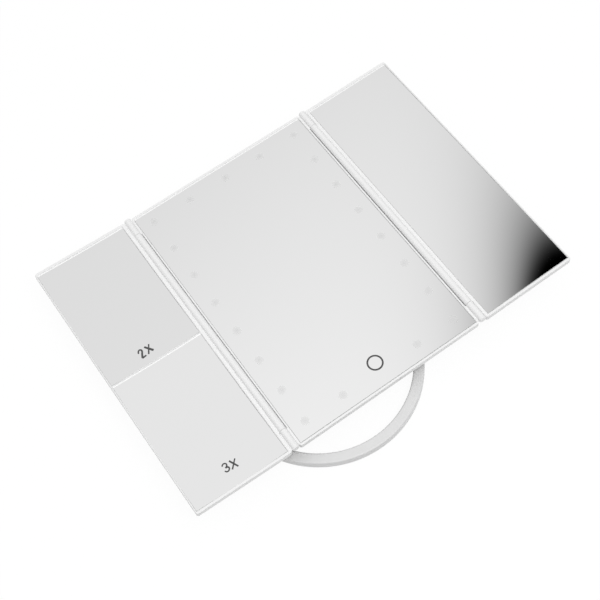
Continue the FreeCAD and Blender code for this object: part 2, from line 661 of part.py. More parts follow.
def centre_frame():
    made = bezel("centre_frame", "0", f"2 * {HALF_W}")
    flat_seat(made, "0", "Dims.pane_width", "Dims.pane_height")
    back_hollow(made, "0", f"2 * {HALF_W}")

    lights = sketch(made, "light_hole_plan", at=FLOOR_BACK)
    for index, (x, y) in enumerate(light_places()):
        circle(lights, x, y, "Dims.led_hole_radius", f"light_{index}")
    circle(lights, "0", f"(-{TOUCH_DROP})", "Dims.touch_hole_radius", "touch")
    pocket(made, lights, "Dims.floor_depth", "light_holes", forward=True)

    posts = sketch(made, "post_plan", at=TAPE_BACK)
    for index, (x, y) in enumerate(screw_places()):
        circle(posts, x, y, "Dims.boss_post_radius", f"post_{index}")
    pad(made, posts, f"Dims.boss_split + {TAPE_BACK}", "screw_posts", reverse=True)
    holes = sketch(made, "post_hole_plan", at="-Dims.boss_split")
    for index, (x, y) in enumerate(screw_places()):
        circle(holes, x, y, "Dims.screw_radius", f"hole_{index}")
    pocket(made, holes, f"Dims.boss_split + {FLOOR_BACK}", "post_holes", forward=True)

    near = f"{HALF_H} - Dims.knuckle_length"
    for side, sign in (("left", "-"), ("right", "")):
        x = f"({sign}{HINGE_X})"
        edge = f"({sign}({HALF_W} - Dims.lip_side / 2))"
        x_low, x_high = (x, edge) if sign else (edge, x)
        for end, low, high in (("upper", near, HALF_H), ("lower", f"-{HALF_H}", f"-({near})")):
            name = f"{side}_{end}_knuckle"
            tip = [HALF_H if end == "upper" else f"(-{HALF_H})"]
            barrel(made, x, "Dims.hinge_rise", low, high, name, tip)
            inset = "Dims.corner_round"
            y_low = low if end == "upper" else f"{low} + {inset}"
            y_high = f"{high} - {inset}" if end == "upper" else high
            web(made, x_low, x_high, y_low, y_high, f"{name}_web")
            start = near if end == "upper" else f"-({near})"
            pin_bore(made, x, "Dims.hinge_rise", start,
                     "Dims.knuckle_length - Dims.pin_cap", "Dims.pin_radius",
                     f"{name}_bore", upward=end == "upper")
        shelf = sketch(made, f"{side}_shelf_plan", at="-Dims.shelf_drop")
        inner, outer = f"({HALF_W} - Dims.lip_side / 2)", f"({HALF_W} + Dims.shelf_width)"
        rectangle(shelf, f"{sign}({inner} + {outer}) / 2", "0", f"{outer} - {inner}",
                  f"2 * ({near})")
        pad(made, shelf, "Dims.shelf_depth", f"{side}_shelf", reverse=True)
    return keep("middle", made)


def hinge_pins():
    pins = []
    for side, sign in (("left", "-"), ("right", "")):
        for end, low in (("upper", PIN_IN), ("lower", f"-{PIN_OUT}")):
            pins.append(rod(f"{side}_{end}_pin", f"{sign}{HINGE_X}", low,
                            "Dims.hinge_rise", "Dims.pin_radius", "Dims.pin_length", "Y"))
    keep("middle", group("hinge_pins", *pins))


def adhesive(label, where, x, width, height, holes=()):
    """The adhesive sheet behind a flat pane, open over the lights."""
    made = body(label)
    sheet = sketch(made, f"{label}_plan", at=TAPE_BACK)
    rectangle(sheet, x, "0", f"{width} - 2 * Dims.tape_margin",
              f"{height} - 2 * Dims.tape_margin")
    for index, (hole_x, hole_y, radius) in enumerate(holes):
        circle(sheet, hole_x, hole_y, radius, f"opening_{index}")
    pad(made, sheet, "Dims.tape_depth", f"{label}_sheet")
    keep(where, made)


# ---------------------------------------------------------------- rear cover

def rear_cover():
    made = skin("rear_cover", "0", f"2 * {HALF_W}")
    raised = sketch(made, "housing_plan", at=HOUSING_BACK)
    rounded(raised, "Dims.housing_width", f"2 * {HOUSING_END}", "Dims.housing_corner")
    base = pad(made, raised, f"{SKIN_FRONT} - {HOUSING_BACK}", "housing")
    level = value(HOUSING_BACK)
    fillet(made, base, lambda edge: level_at(edge, level), "Dims.housing_edge",
           "housing_edge")

    inside = sketch(made, "inside_plan", at=SKIN_FRONT)
    rounded(inside, f"2 * {HOUSING_IN_SIDE}",
            f"2 * ({HOUSING_END} - Dims.housing_wall)",
            "(Dims.housing_corner - Dims.housing_wall)")
    pocket(made, inside, f"{SKIN_FRONT} - {HOUSING_IN}", "inside")
    rim(made, "0", "0", f"2 * ({HALF_W} - Dims.frame_wall)",
        f"2 * ({HALF_H} - Dims.frame_wall)", "rim")

    hub = sketch(made, "hub_plan", at=HOUSING_IN)
    circle(hub, "0", "0", HUB_RADIUS)
    pad(made, hub, f"{HUB_FRONT} - {HOUSING_IN}", "hub_boss")
    bosses = sketch(made, "boss_plan", at=HOUSING_IN)
    for index, (x, y) in enumerate(screw_places()):
        circle(bosses, x, y, "Dims.boss_radius", f"boss_{index}")
    pad(made, bosses, f"-Dims.boss_split - {HOUSING_IN}", "screw_bosses")
    rests = sketch(made, "rest_plan", at=HOUSING_IN)
    for index, (x, y) in enumerate(board_screw_places()):
        circle(rests, x, y, "Dims.board_boss_radius", f"rest_{index}")
    pad(made, rests, f"{BOARD_BACK} - {HOUSING_IN}", "board_rests")

    recess = sketch(made, "recess_plan", at=HOUSING_BACK)
    circle(recess, "0", "0", "Dims.table_radius + Dims.table_play")
    pocket(made, recess, f"{RECESS_FLOOR} - {HOUSING_BACK}", "table_recess", forward=True)
    bore = sketch(made, "spigot_plan", at=RECESS_FLOOR)
    circle(bore, "0", "0", "Dims.spigot_radius + Dims.spigot_play")
    pocket(made, bore, "Dims.hub_floor", "spigot_bore", forward=True)

    sinks = sketch(made, "sink_plan", at=HOUSING_BACK)
    shanks = sketch(made, "shank_plan", at=HOUSING_BACK)
    for index, (x, y) in enumerate(screw_places()):
        circle(sinks, x, y, "Dims.screw_head_radius + Dims.screw_play", f"sink_{index}")
        circle(shanks, x, y, "Dims.screw_radius + Dims.screw_play", f"shank_{index}")
    pocket(made, sinks, "Dims.screw_sink", "screw_sinks", forward=True)
    pocket(made, shanks, f"-Dims.boss_split - {HOUSING_BACK}", "screw_holes", forward=True)
    pilots = sketch(made, "pilot_plan", at=BOARD_BACK)
    for index, (x, y) in enumerate(board_screw_places()):
        circle(pilots, x, y, "Dims.board_screw_radius", f"pilot_{index}")
    pocket(made, pilots, "Dims.board_screw_length - Dims.board_depth", "board_pilots")

    door_opening(made)
    side_openings(made)
    return keep("middle", made)


def door_opening(made):
    """The opening for the cells, open at the housing's lower end, with runner slots."""
    low = f"(-{HOUSING_END} - Dims.housing_wall)"
    middle, tall = f"(({low} + {CELLS_HIGH}) / 2)", f"({CELLS_HIGH} - {low})"
    opening = sketch(made, "door_plan", at=HOUSING_BACK)
    rectangle(opening, "0", middle, TRAY_INNER_W, tall)
    pocket(made, opening, "Dims.housing_wall", "door_opening", forward=True)

    slots = sketch(made, "runner_plan", at=f"{RAIL_BACK} - Dims.rail_play")
    rectangle(slots, "0", middle, f"{TRAY_INNER_W} + 2 * Dims.rail_width", tall)
    pocket(made, slots, "Dims.rail_depth + 2 * Dims.rail_play", "runner_slots", forward=True)

    notch = sketch(made, "notch_plan", at=HOUSING_BACK)
    notch_high = f"(Dims.housing_wall - {HOUSING_END})"
    rectangle(notch, "0", f"(({low} + {notch_high}) / 2)", TRAY_INNER_W,
              f"({notch_high} - {low})")
    pocket(made, notch, f"{DOOR_LIP_FRONT} + Dims.door_play - {HOUSING_BACK}", "lip_notch",
           forward=True)


def side_openings(made):
    """The mouths for the power socket and the switch knob in the right side."""
    mouths = sketch(made, "mouth_plan", plane="YZ_Plane", at=HOUSING_SIDE)
    grown = "2 * Dims.usb_play"
    rectangle(mouths, USB_Y, USB_Z, f"Dims.usb_width + {grown}",
              f"Dims.usb_rise + {grown}", "socket")
    grown = "2 * Dims.knob_play"
    rectangle(mouths, SWITCH_Y, SWITCH_Z,
              f"Dims.knob_width + Dims.knob_travel + {grown}", f"Dims.knob_rise + {grown}",
              "knob")
    pocket(made, mouths, "Dims.housing_wall", "side_mouths")


def battery_door():
    """The sliding plate over the cells, with its end lip, runners and finger grooves."""
    made = body("battery_door")
    wide = f"({TRAY_INNER_W} - 2 * Dims.door_play)"
    low, high = f"(-{HOUSING_END})", f"({CELLS_HIGH} - Dims.door_play)"
    middle, tall = f"(({low} + {high}) / 2)", f"({high} - {low})"
    plate = sketch(made, "door_plate_plan", at=HOUSING_BACK)
    rectangle(plate, "0", middle, wide, tall)
    base = pad(made, plate, f"{DOOR_INNER} - {HOUSING_BACK}", "door_plate")
    back, end = value(HOUSING_BACK), value(low)
    fillet(made, base,
           lambda edge: level_at(edge, back) and abs(edge.BoundBox.YMax - end) < SAME,
           "Dims.housing_edge", "door_edge")

    lip_high = f"({low} + Dims.housing_wall - Dims.door_play)"
    lip = sketch(made, "door_lip_plan", at=DOOR_INNER)
    rectangle(lip, "0", f"(({low} + {lip_high}) / 2)", wide, f"({lip_high} - {low})")
    pad(made, lip, f"{DOOR_LIP_FRONT} - {DOOR_INNER}", "door_lip")

    rails = sketch(made, "door_rail_plan", at=RAIL_BACK)
    side = f"({wide} / 2 + (Dims.rail_width - Dims.door_play) / 2)"
    for tag, x in (("left", f"(-{side})"), ("right", side)):
        rectangle(rails, x, middle, "Dims.rail_width - Dims.door_play",
                  f"{tall} - 2 * Dims.door_lip", tag)
    pad(made, rails, "Dims.rail_depth", "door_rails")

    grooves = sketch(made, "grip_plan", at=HOUSING_BACK)
    for index in range(GRIP_GROOVES):
        y = f"({low} + Dims.grip_start + {index} * Dims.grip_pitch)"
        rectangle(grooves, "0", y, "Dims.grip_length", "Dims.grip_pitch / 2",
                  f"groove_{index}")
    pocket(made, grooves, "Dims.grip_groove", "grip_grooves", forward=True)
    keep("door", made)


# ---------------------------------------------------------------- cells and electronics

def battery_tray():
    outer_w = f"({TRAY_INNER_W} + 2 * Dims.tray_side)"
    shell = block("tray_block", f"-{outer_w} / 2", TRAY_LOW, HOUSING_IN, outer_w,
                  f"{TRAY_HIGH} - {TRAY_LOW}", f"{ROOF_FRONT} - {HOUSING_IN}")
    hollow = block("tray_hollow", f"-{TRAY_INNER_W} / 2", CELLS_LOW, HOUSING_IN,
                   TRAY_INNER_W, f"{CELLS_HIGH} - {CELLS_LOW}",
                   f"{ROOF_BACK} - {HOUSING_IN}")
    keep("middle", cut("battery_tray", shell, hollow))


def cells():
    """Four cells side by side, turned end for end, with a spring at each flat end."""
    cell_solids, springs, plates = [], [], []
    plate_low = f"({CELLS_LOW} + Dims.contact_depth)"
    plate_high = f"({CELLS_HIGH} - Dims.contact_depth)"
    for index in range(CELL_COUNT):
        x = f"({2 * index - CELL_COUNT + 1} * Dims.cell_pitch / 2)"
        button_up = index % 2 == 0
        low = f"({plate_high} - {CELL_TOTAL})" if button_up else plate_low
        can_low = low if button_up else f"({low} + Dims.cell_button)"
        can = rod(f"cell_can_{index}", x, can_low, CELL_Z, "Dims.cell_radius",
                  "Dims.cell_length", "Y")
        button_low = f"({can_low} + Dims.cell_length)" if button_up else low
        button = rod(f"cell_button_{index}", x, button_low, CELL_Z,
                     "Dims.cell_button_radius", "Dims.cell_button", "Y")
        cell_solids.append(fuse(f"cell_{index}", can, button))
        spring_low = plate_low if button_up else f"({low} + {CELL_TOTAL})"
        springs.append(spring_shape(value(x), value(spring_low), value(CELL_Z)))
        for end, y in (("low", CELLS_LOW), ("high", plate_high)):
            plates.append(block(f"contact_{end}_{index}", f"{x} - Dims.contact_side / 2", y,
                                f"{CELL_Z} - Dims.contact_side / 2", "Dims.contact_side",
                                "Dims.contact_depth", "Dims.contact_side"))
    keep("middle", group("battery_cells", *cell_solids))
    keep("middle", group("battery_contacts", *plates))
    coils = doc.addObject("Part::Feature", "battery_springs")
    coils.Label = "battery_springs"
    coils.Shape = Part.makeCompound(springs)
    keep("middle", coils)


def spring_shape(x, y, z):
    """One contact spring along Y: a round wire swept along a helix."""
    wire = value("Dims.spring_wire")
    rise = value("Dims.spring_length") - 2 * wire
    turns = value("Dims.spring_turns")
    radius = value("Dims.spring_radius")
    helix = Part.makeHelix(rise / turns, rise, radius)
    start = helix.Edges[0].valueAt(helix.Edges[0].FirstParameter)
    section = Part.Wire(Part.makeCircle(wire, start, Vector(0, 1, 0)))
    coil = Part.Wire(helix.Edges).makePipeShell([section], True, True)
    coil.Placement = Placement(Vector(x, y + wire, z), Rotation(Vector(1, 0, 0), -90))
    return coil


def light_boards():
    half = "Dims.strip_width / 2"
    column_low = f"(-{LED_BOTTOM} - Dims.strip_overrun)"
    tall = f"({LED_TOP} + Dims.strip_overrun - {column_low})"
    for side, sign in (("left", "-"), ("right", "")):
        board = block(f"{side}_strip", f"{sign}{LED_COLUMN} - {half}", column_low,
                      SKIN_FRONT, "Dims.strip_width", tall, "Dims.strip_depth")
        keep("middle", group(f"led_strip_{side}", board))
    inner = f"({LED_COLUMN} - {half})"
    for end, y in (("top", LED_TOP), ("bottom", f"-{LED_BOTTOM}")):
        board = block(f"{end}_strip", f"-{inner}", f"{y} - {half}", SKIN_FRONT,
                      f"2 * {inner}", "Dims.strip_width", "Dims.strip_depth")
        keep("middle", group(f"led_strip_{end}", board))
    lights = []
    for index, (x, y) in enumerate(light_places()):
        lights.append(block(f"light_{index}", f"{x} - Dims.led_side / 2",
                            f"{y} - Dims.led_side / 2", STRIP_FRONT, "Dims.led_side",
                            "Dims.led_side", "Dims.led_rise"))
    keep("middle", group("leds", *lights))


def touch_switch():
    """The small board above the lower light board, and the electrode behind the pane."""
    low = f"(-{LED_BOTTOM} + Dims.strip_width / 2)"
    board = block("touch_plate", "-Dims.touch_board_width / 2", low, SKIN_FRONT,
                  "Dims.touch_board_width", "Dims.touch_board_height", "Dims.strip_depth")
    keep("middle", group("touch_board", board))
    foam = rod("electrode", "0", f"-{TOUCH_DROP}", STRIP_FRONT, "Dims.electrode_radius",
               f"{GLASS_BACK} - {STRIP_FRONT}")
    keep("middle", group("touch_electrode", foam))


def board_screw_places():
    left = f"(Dims.board_hole_inset - {BOARD_LEFT})"
    right = f"({BOARD_RIGHT} - Dims.board_hole_right)"
    return [(x, y) for x in (left, right)
            for y in (f"({BOARD_LOW} + Dims.board_hole_inset)",
                      f"({BOARD_HIGH} - Dims.board_hole_inset)")]


def control_board():
    plate = block("board_plate", f"-{BOARD_LEFT}", BOARD_LOW, BOARD_BACK,
                  f"{BOARD_LEFT} + {BOARD_RIGHT}", f"{BOARD_HIGH} - {BOARD_LOW}",
                  "Dims.board_depth")
    holes = [rod(f"board_hole_{index}", x, y, BOARD_BACK, "Dims.board_screw_radius",
                 "Dims.board_depth")
             for index, (x, y) in enumerate(board_screw_places())]
    keep("middle", cut("control_board", plate, *holes))

    screws = []
    for index, (x, y) in enumerate(board_screw_places()):
        head = rod(f"board_screw_head_{index}", x, y, BOARD_FRONT, "Dims.board_screw_head",
                   "Dims.board_screw_radius")
        shank = rod(f"board_screw_shank_{index}", x, y,
                    f"{BOARD_FRONT} - Dims.board_screw_length", "Dims.board_screw_radius",
                    "Dims.board_screw_length")
        screws.append(fuse(f"board_screw_{index}", head, shank))
    keep("middle", group("board_screws", *screws))

    parts = []
    for name, x, y, length, width, height in BOARD_PARTS:
        parts.append(block(name, f"{x} - {length} / 2", f"{BOARD_MID} + {y} - {width} / 2",
                           BOARD_FRONT, f"{length}", f"{width}", f"{height}"))
    parts.append(rod("capacitor", "Dims.capacitor_x", f"{BOARD_MID} + Dims.capacitor_y",
                     BOARD_FRONT, "Dims.capacitor_radius", "Dims.capacitor_rise"))
    for side, sign in (("left", "-"), ("right", "")):
        far = f"({sign}Dims.plug_x)"
        start = far if sign else f"({far} - Dims.plug_length)"
        parts.append(block(f"{side}_plug", start, f"{BOARD_MID} - Dims.plug_width / 2",
                           BOARD_FRONT, "Dims.plug_length", "Dims.plug_width",
                           "Dims.plug_rise"))
    keep("middle", group("board_parts", *parts))


def power_socket():
    """A small power socket: a thin shell, open outwards, with its contact tongue."""
    far = f"({HOUSING_SIDE} - Dims.usb_recess)"
    low_x = f"({far} - Dims.usb_length)"
    low_y, low_z = f"({USB_Y} - Dims.usb_width / 2)", f"({USB_Z} - Dims.usb_rise / 2)"
    shell = block("socket_block", low_x, low_y, low_z, "Dims.usb_length", "Dims.usb_width",
                  "Dims.usb_rise")
    hollow = block("socket_hollow", f"{low_x} + Dims.usb_wall", f"{low_y} + Dims.usb_wall",
                   f"{low_z} + Dims.usb_wall", "Dims.usb_length",
                   "Dims.usb_width - 2 * Dims.usb_wall",
                   "Dims.usb_rise - 2 * Dims.usb_wall")
    tongue = block("socket_tongue", low_x, f"{USB_Y} - Dims.usb_width / 4",
                   f"{USB_Z} - Dims.usb_wall", "Dims.usb_tongue",
                   "Dims.usb_width / 2", "2 * Dims.usb_wall")
    keep("middle", fuse("usb_socket", cut("socket_shell", shell, hollow), tongue))


def slide_switch():
    low_x = f"({SWITCH_OUT} - Dims.switch_length)"
    case = block("switch_block", low_x, f"{SWITCH_Y} - Dims.switch_width / 2",
                 f"{BOARD_BACK} - Dims.switch_rise", "Dims.switch_length",
                 "Dims.switch_width", "Dims.switch_rise")
    play = "Dims.knob_play"
    slot_w = f"(Dims.knob_width + Dims.knob_travel + 2 * {play})"
    deep = f"(Dims.knob_depth + {play})"
    slot = block("switch_slot", f"{SWITCH_OUT} - {deep}", f"{SWITCH_Y} - {slot_w} / 2",
                 f"{SWITCH_Z} - Dims.knob_rise / 2 - {play}", deep, slot_w,
                 f"Dims.knob_rise + 2 * {play}")
    keep("middle", cut("switch_body", case, slot))

    knob = body("switch_knob")
    start = f"{SWITCH_OUT} - Dims.knob_depth"
    section = sketch(knob, "knob_section", plane="YZ_Plane", at=start)
    rectangle(section, f"{SWITCH_Y} - Dims.knob_travel / 2", SWITCH_Z,
              "Dims.knob_width", "Dims.knob_rise")
    reach = f"({HOUSING_SIDE} + Dims.knob_proud - ({start}))"
    base = pad(knob, section, reach, "knob_stem")
    tip = value(f"{HOUSING_SIDE} + Dims.knob_proud")
    fillet(knob, base, lambda edge: edge.BoundBox.XMin > tip - SAME, "Dims.knob_play",
           "knob_tip")
    keep("knob", knob)


def tube(points, radius, bend):
    """A round lead along straight runs joined by arcs of the radius bend."""
    edges, start = [], points[0]
    for before, corner, after in zip(points, points[1:], points[2:]):
        back, ahead = (before - corner).normalize(), (after - corner).normalize()
        half = back.getAngle(ahead) / 2
        reach = bend / math.tan(half)
        first, last = corner + back * reach, corner + ahead * reach
        middle = (back + ahead).normalize()
        hub = corner + middle * (bend / math.sin(half))
        edges.append(Part.LineSegment(start, first).toShape())
        edges.append(Part.Arc(first, hub - middle * bend, last).toShape())
        start = last
    edges.append(Part.LineSegment(start, points[-1]).toShape())
    path = Part.Wire(edges)
    section = Part.Wire(Part.makeCircle(radius, points[0], points[1] - points[0]))
    return path.makePipeShell([section], True, True)


def wiring():
    """Leads from the cells to the board, and on to the lights and the touch board."""
    radius, bend = value("Dims.wire_radius"), value("Dims.wire_bend")
    apart, climb = value("Dims.wire_apart"), value("Dims.wire_climb")
    beside_hub = value(f"{HUB_RADIUS} + Dims.wire_clear")
    on_board = value(BOARD_FRONT) + radius
    in_gap = value(f"({FLOOR_BACK} + {SKIN_FRONT}) / 2")
    in_plug = value(f"{BOARD_FRONT} + Dims.plug_rise / 2")
    tray_end, cell_level = value(TRAY_HIGH), value(CELL_Z)
    board_low, board_middle = value(BOARD_LOW), value(BOARD_MID)
    first_x, board_x = value("Dims.wire_tray_x"), value("Dims.wire_board_x")
    routes = []
    for step in (0, 1):
        tray_x, pad_x = first_x + 4 * step * apart, board_x + 2 * step * apart
        level, across = cell_level - step * apart, beside_hub + step * apart / 2
        routes.append([Vector(-tray_x, tray_end, level),
                       Vector(-tray_x, tray_end + bend + 1, level),
                       Vector(-across, -tray_x, level),
                       Vector(-across, board_low - 3 * climb, level),
                       Vector(-pad_x, board_low - climb, on_board),
                       Vector(-pad_x, board_low + climb, on_board)])

    plug, strip = value("Dims.plug_x"), value(f"{LED_COLUMN} - Dims.strip_width / 2")
    for sign in (-1, 1):
        routes.append([Vector(sign * plug, board_middle, in_plug),
                       Vector(sign * (plug + climb), board_middle, in_plug),
                       Vector(sign * (plug + 2 * climb), board_middle, in_gap),
                       Vector(sign * strip, board_middle, in_gap)])

    down = beside_hub + apart
    cover_low = value(f"Dims.housing_wall - {HOUSING_END}")
    touch_high = value(f"Dims.strip_width / 2 - {LED_BOTTOM} + Dims.touch_board_height")
    touch_x = value("Dims.touch_board_width / 3")
    routes.append([Vector(down, board_low + climb, on_board),
                   Vector(down, cover_low + 2 * climb, on_board),
                   Vector(down, cover_low + climb / 2, in_gap),
                   Vector(touch_x + 2 * climb, (touch_high + cover_low) / 2, in_gap),
                   Vector(touch_x, touch_high + climb, in_gap),
                   Vector(touch_x, touch_high, in_gap)])
    leads = doc.addObject("Part::Feature", "wiring")
    leads.Label = "wiring"
    leads.Shape = Part.makeCompound([tube(points, radius, bend) for points in routes])
    keep("middle", leads)


def cover_screws():
    screws = []
    seat = f"({HOUSING_BACK} + Dims.screw_sink)"
    for index, (x, y) in enumerate(screw_places()):
        head = rod(f"screw_head_{index}", x, y, f"{seat} - Dims.screw_head_depth",
                   "Dims.screw_head_radius", "Dims.screw_head_depth")
        shank = rod(f"screw_shank_{index}", x, y, seat, "Dims.screw_radius",
                    "Dims.screw_length")
        screws.append(fuse(f"screw_{index}", head, shank))
    keep("middle", group("cover_screws", *screws))


# ---------------------------------------------------------------- wings
# A wing is modelled with X = 0 on its hinge line and Z = 0 on its bezel's front. The left
# wing is turned half round about Z, so its Y runs down the mirror.

def wing_bezel(label):
    """A wing's bezel, before its seat is cut, with the long knuckle and its bores."""
    made = bezel(label, WING_MID, WING_W)
    barrel(made, "0", "Dims.hinge_rise", f"-{LONG_HALF}", LONG_HALF, f"{label}_knuckle", [])
    web(made, "0", f"{WING_NEAR} + Dims.frame_wall", f"-{LONG_HALF}", LONG_HALF,
        f"{label}_web")
    deep = f"({LONG_HALF} - {PIN_IN} + Dims.pin_bore_spare)"
    radius = "Dims.pin_radius + Dims.pin_play"
    for end, start in (("upper", LONG_HALF), ("lower", f"-{LONG_HALF}")):
        pin_bore(made, "0", "Dims.hinge_rise", start, deep, radius, f"{label}_{end}_bore",
                 upward=end == "lower")
    return made


def right_wing():
    frame = wing_bezel("right_wing_frame")
    flat_seat(frame, PANE_MID, WING_PANE_W, WING_PANE_H)
    back_hollow(frame, WING_MID, WING_W)
    keep("right_wing", frame)
    keep("right_wing", flat_pane("right_mirror", PANE_MID, WING_PANE_W,
                                 WING_PANE_H))
    adhesive("right_mirror_tape", "right_wing", PANE_MID, WING_PANE_W,
             WING_PANE_H)
    back = skin("right_wing_back", WING_MID, WING_W)
    rim(back, WING_MID, "0", f"{WING_W} - 2 * Dims.frame_wall",
        f"2 * ({HALF_H} - Dims.frame_wall)", "rim")
    keep("right_wing", back)


def magnifier_places():
    """The 2X pane over the 3X pane: name, middle, height and hollow of each."""
    half = f"{WING_PANE_H} / 2"
    over = "(Dims.divider_rise + Dims.divider_width / 2)"
    under = "(Dims.divider_rise - Dims.divider_width / 2)"
    return (("mirror_2x", f"(-({half} + {over}) / 2)", f"({half} - {over})",
             "Dims.two_times_radius"),
            ("mirror_3x", f"(({half} - {under}) / 2)", f"({half} + {under})",
             "Dims.three_times_radius"))


def ball(name, y, tall, hollow, radius):
    """The ball whose surface is a pane's face: its front, or its back at the seat."""
    made = doc.addObject("Part::Sphere", name)
    made.setExpression("Radius", radius)
    reach = f"(({WING_PANE_W} / 2) ^ 2 + ({tall} / 2) ^ 2)"
    return place(made, PANE_MID, y, f"{GLASS_FRONT} + sqrt({hollow} ^ 2 - {reach})")


def pane_block(name, y, tall, grow):
    """The upright block of a magnifying pane's outline, grown on every side."""
    width = f"({WING_PANE_W} + 2 * {grow})"
    height = f"({tall} + 2 * {grow})"
    return block(name, f"{PANE_MID} - {width} / 2", f"{y} - {height} / 2", SKIN_BACK,
                 width, height, "2 * Dims.panel_depth")


def left_wing():
    frame = wing_bezel("left_wing_block")
    back = skin("left_wing_back", WING_MID, WING_W)
    hollows = sketch(frame, "left_wing_hollow", at=SKIN_FRONT)
    seats = []
    for label, y, tall, hollow in magnifier_places():
        wide = f"({WING_PANE_W} - 2 * Dims.ledge_width)"
        high = f"({tall} - 2 * Dims.ledge_width)"
        rectangle(hollows, PANE_MID, y, wide, high, label)
        rim(back, PANE_MID, y, wide, high, f"{label}_rim")
        sloping_lip(frame, PANE_MID, y, WING_PANE_W, tall, label)
        outside = f"({hollow} + Dims.magnifier_depth)"
        seat = doc.addObject("Part::Common", f"{label}_seat")
        seat.Base = pane_block(f"{label}_seat_block", y, tall, "Dims.glass_play")
        seat.Tool = ball(f"{label}_seat_ball", y, tall, hollow, outside)
        seats.append(seat)
        blank = doc.addObject("Part::Common", f"{label}_blank")
        blank.Base = pane_block(f"{label}_block", f"({y} - Dims.glass_raise)", tall, "0")
        blank.Tool = ball(f"{label}_back_ball", y, tall, hollow, outside)
        keep("left_wing", cut(label, blank, ball(f"{label}_front_ball", y, tall, hollow,
                                                 hollow)))
    pocket(frame, hollows, f"-{SKIN_FRONT}", "left_wing_hollow_cut", forward=True)
    keep("left_wing", cut("left_wing_frame", frame, *seats))
    keep("left_wing", back)


# ---------------------------------------------------------------- swivel and ring stand
# Both are modelled about the swivel's line, with X along the tilt pin and the ring's
# middle on -Y.

def swivel():
    table = body("swivel_turntable")
    disc = sketch(table, "table_plan", at=TABLE_BACK)
    circle(disc, "0", "0", "Dims.table_radius")
    pad(table, disc, "Dims.table_depth", "table_disc")
    spigot = sketch(table, "table_spigot_plan", at=TABLE_FRONT)
    circle(spigot, "0", "0", "Dims.spigot_radius")
    pad(table, spigot, f"{SPIGOT_FRONT} - {TABLE_FRONT}", "table_spigot")
    hinge = sketch(table, "hinge_block_plan", at=RING_BACK)
    rectangle(hinge, "0", "0", "Dims.block_width", "Dims.block_thick")
    base = pad(table, hinge, f"{TABLE_BACK} - {RING_BACK}", "hinge_block")
    half = value("Dims.block_width / 2")
    fillet(table, base,
           lambda edge: upright(edge) and abs(abs(edge.BoundBox.Center.x) - half) < SAME,
           "Dims.block_round", "hinge_block_edges")
    pin = sketch(table, "tilt_bore_plan", plane="YZ_Plane", at="Dims.block_width / 2")
    circle(pin, "0", TILT_Z, "Dims.tilt_pin_radius + Dims.pin_play")
    pocket(table, pin, "Dims.block_width", "tilt_bore")
    screw = sketch(table, "hub_screw_plan", at=SPIGOT_FRONT)
    circle(screw, "0", "0", "Dims.hub_screw_radius")
    pocket(table, screw, "Dims.hub_screw_length - Dims.washer_depth", "hub_screw_hole")
    foot = sketch(table, "foot_plan", at=RING_BACK)
    rectangle(foot, "0", "0", "Dims.foot_width + 2 * Dims.foot_play",
              "Dims.foot_thick + 2 * Dims.foot_play")
    deep = "(Dims.strip_grip_depth - Dims.foot_proud)"
    pocket(table, foot, deep, "foot_recess", forward=True)
    keep("swivel", table)

    rubber = block("foot_block", "-Dims.foot_width / 2", "-Dims.foot_thick / 2",
                   f"{RING_BACK} - Dims.foot_proud", "Dims.foot_width", "Dims.foot_thick",
                   "Dims.strip_grip_depth")
    keep("swivel", group("hub_foot_pad", rubber))
    washer = rod("washer_disc", "0", "0", SPIGOT_FRONT, "Dims.washer_radius",
                 "Dims.washer_depth")
    hole = rod("washer_hole", "0", "0", SPIGOT_FRONT, "Dims.hub_screw_radius",
               "Dims.washer_depth")
    keep("swivel", cut("swivel_washer", washer, hole))
    under_head = f"({SPIGOT_FRONT} + Dims.washer_depth)"
    head = rod("hub_screw_head_disc", "0", "0", under_head, "Dims.hub_screw_head",
               "Dims.hub_screw_head_depth")
    shank = rod("hub_screw_shank", "0", "0", f"{under_head} - Dims.hub_screw_length",
                "Dims.hub_screw_radius", "Dims.hub_screw_length")
    keep("swivel", fuse("swivel_screw", head, shank))

    slip = rod("slip_disc", "0", "0", WEAR_BACK, "Dims.table_radius", "Dims.wear_depth")
    inner = rod("slip_hole", "0", "0", WEAR_BACK, "Dims.wear_inner", "Dims.wear_depth")
    keep("middle", cut("swivel_wear_ring", slip, inner))


def ring_section(owner, name, radius, low, width, height):
    """A rectangle beside the ring's own line, to be turned about it."""
    made = owner.newObject("Sketcher::SketchObject", name)
    base = [item for item in owner.Origin.OriginFeatures if item.Role == "YZ_Plane"][0]
    made.AttachmentSupport = [(base, "")]
    made.MapMode = "FlatFace"
    made.setExpression("AttachmentOffset.Base.x", "-Dims.ring_radius")
    rectangle(made, radius, f"{low} + ({height}) / 2", width, height)
    return made


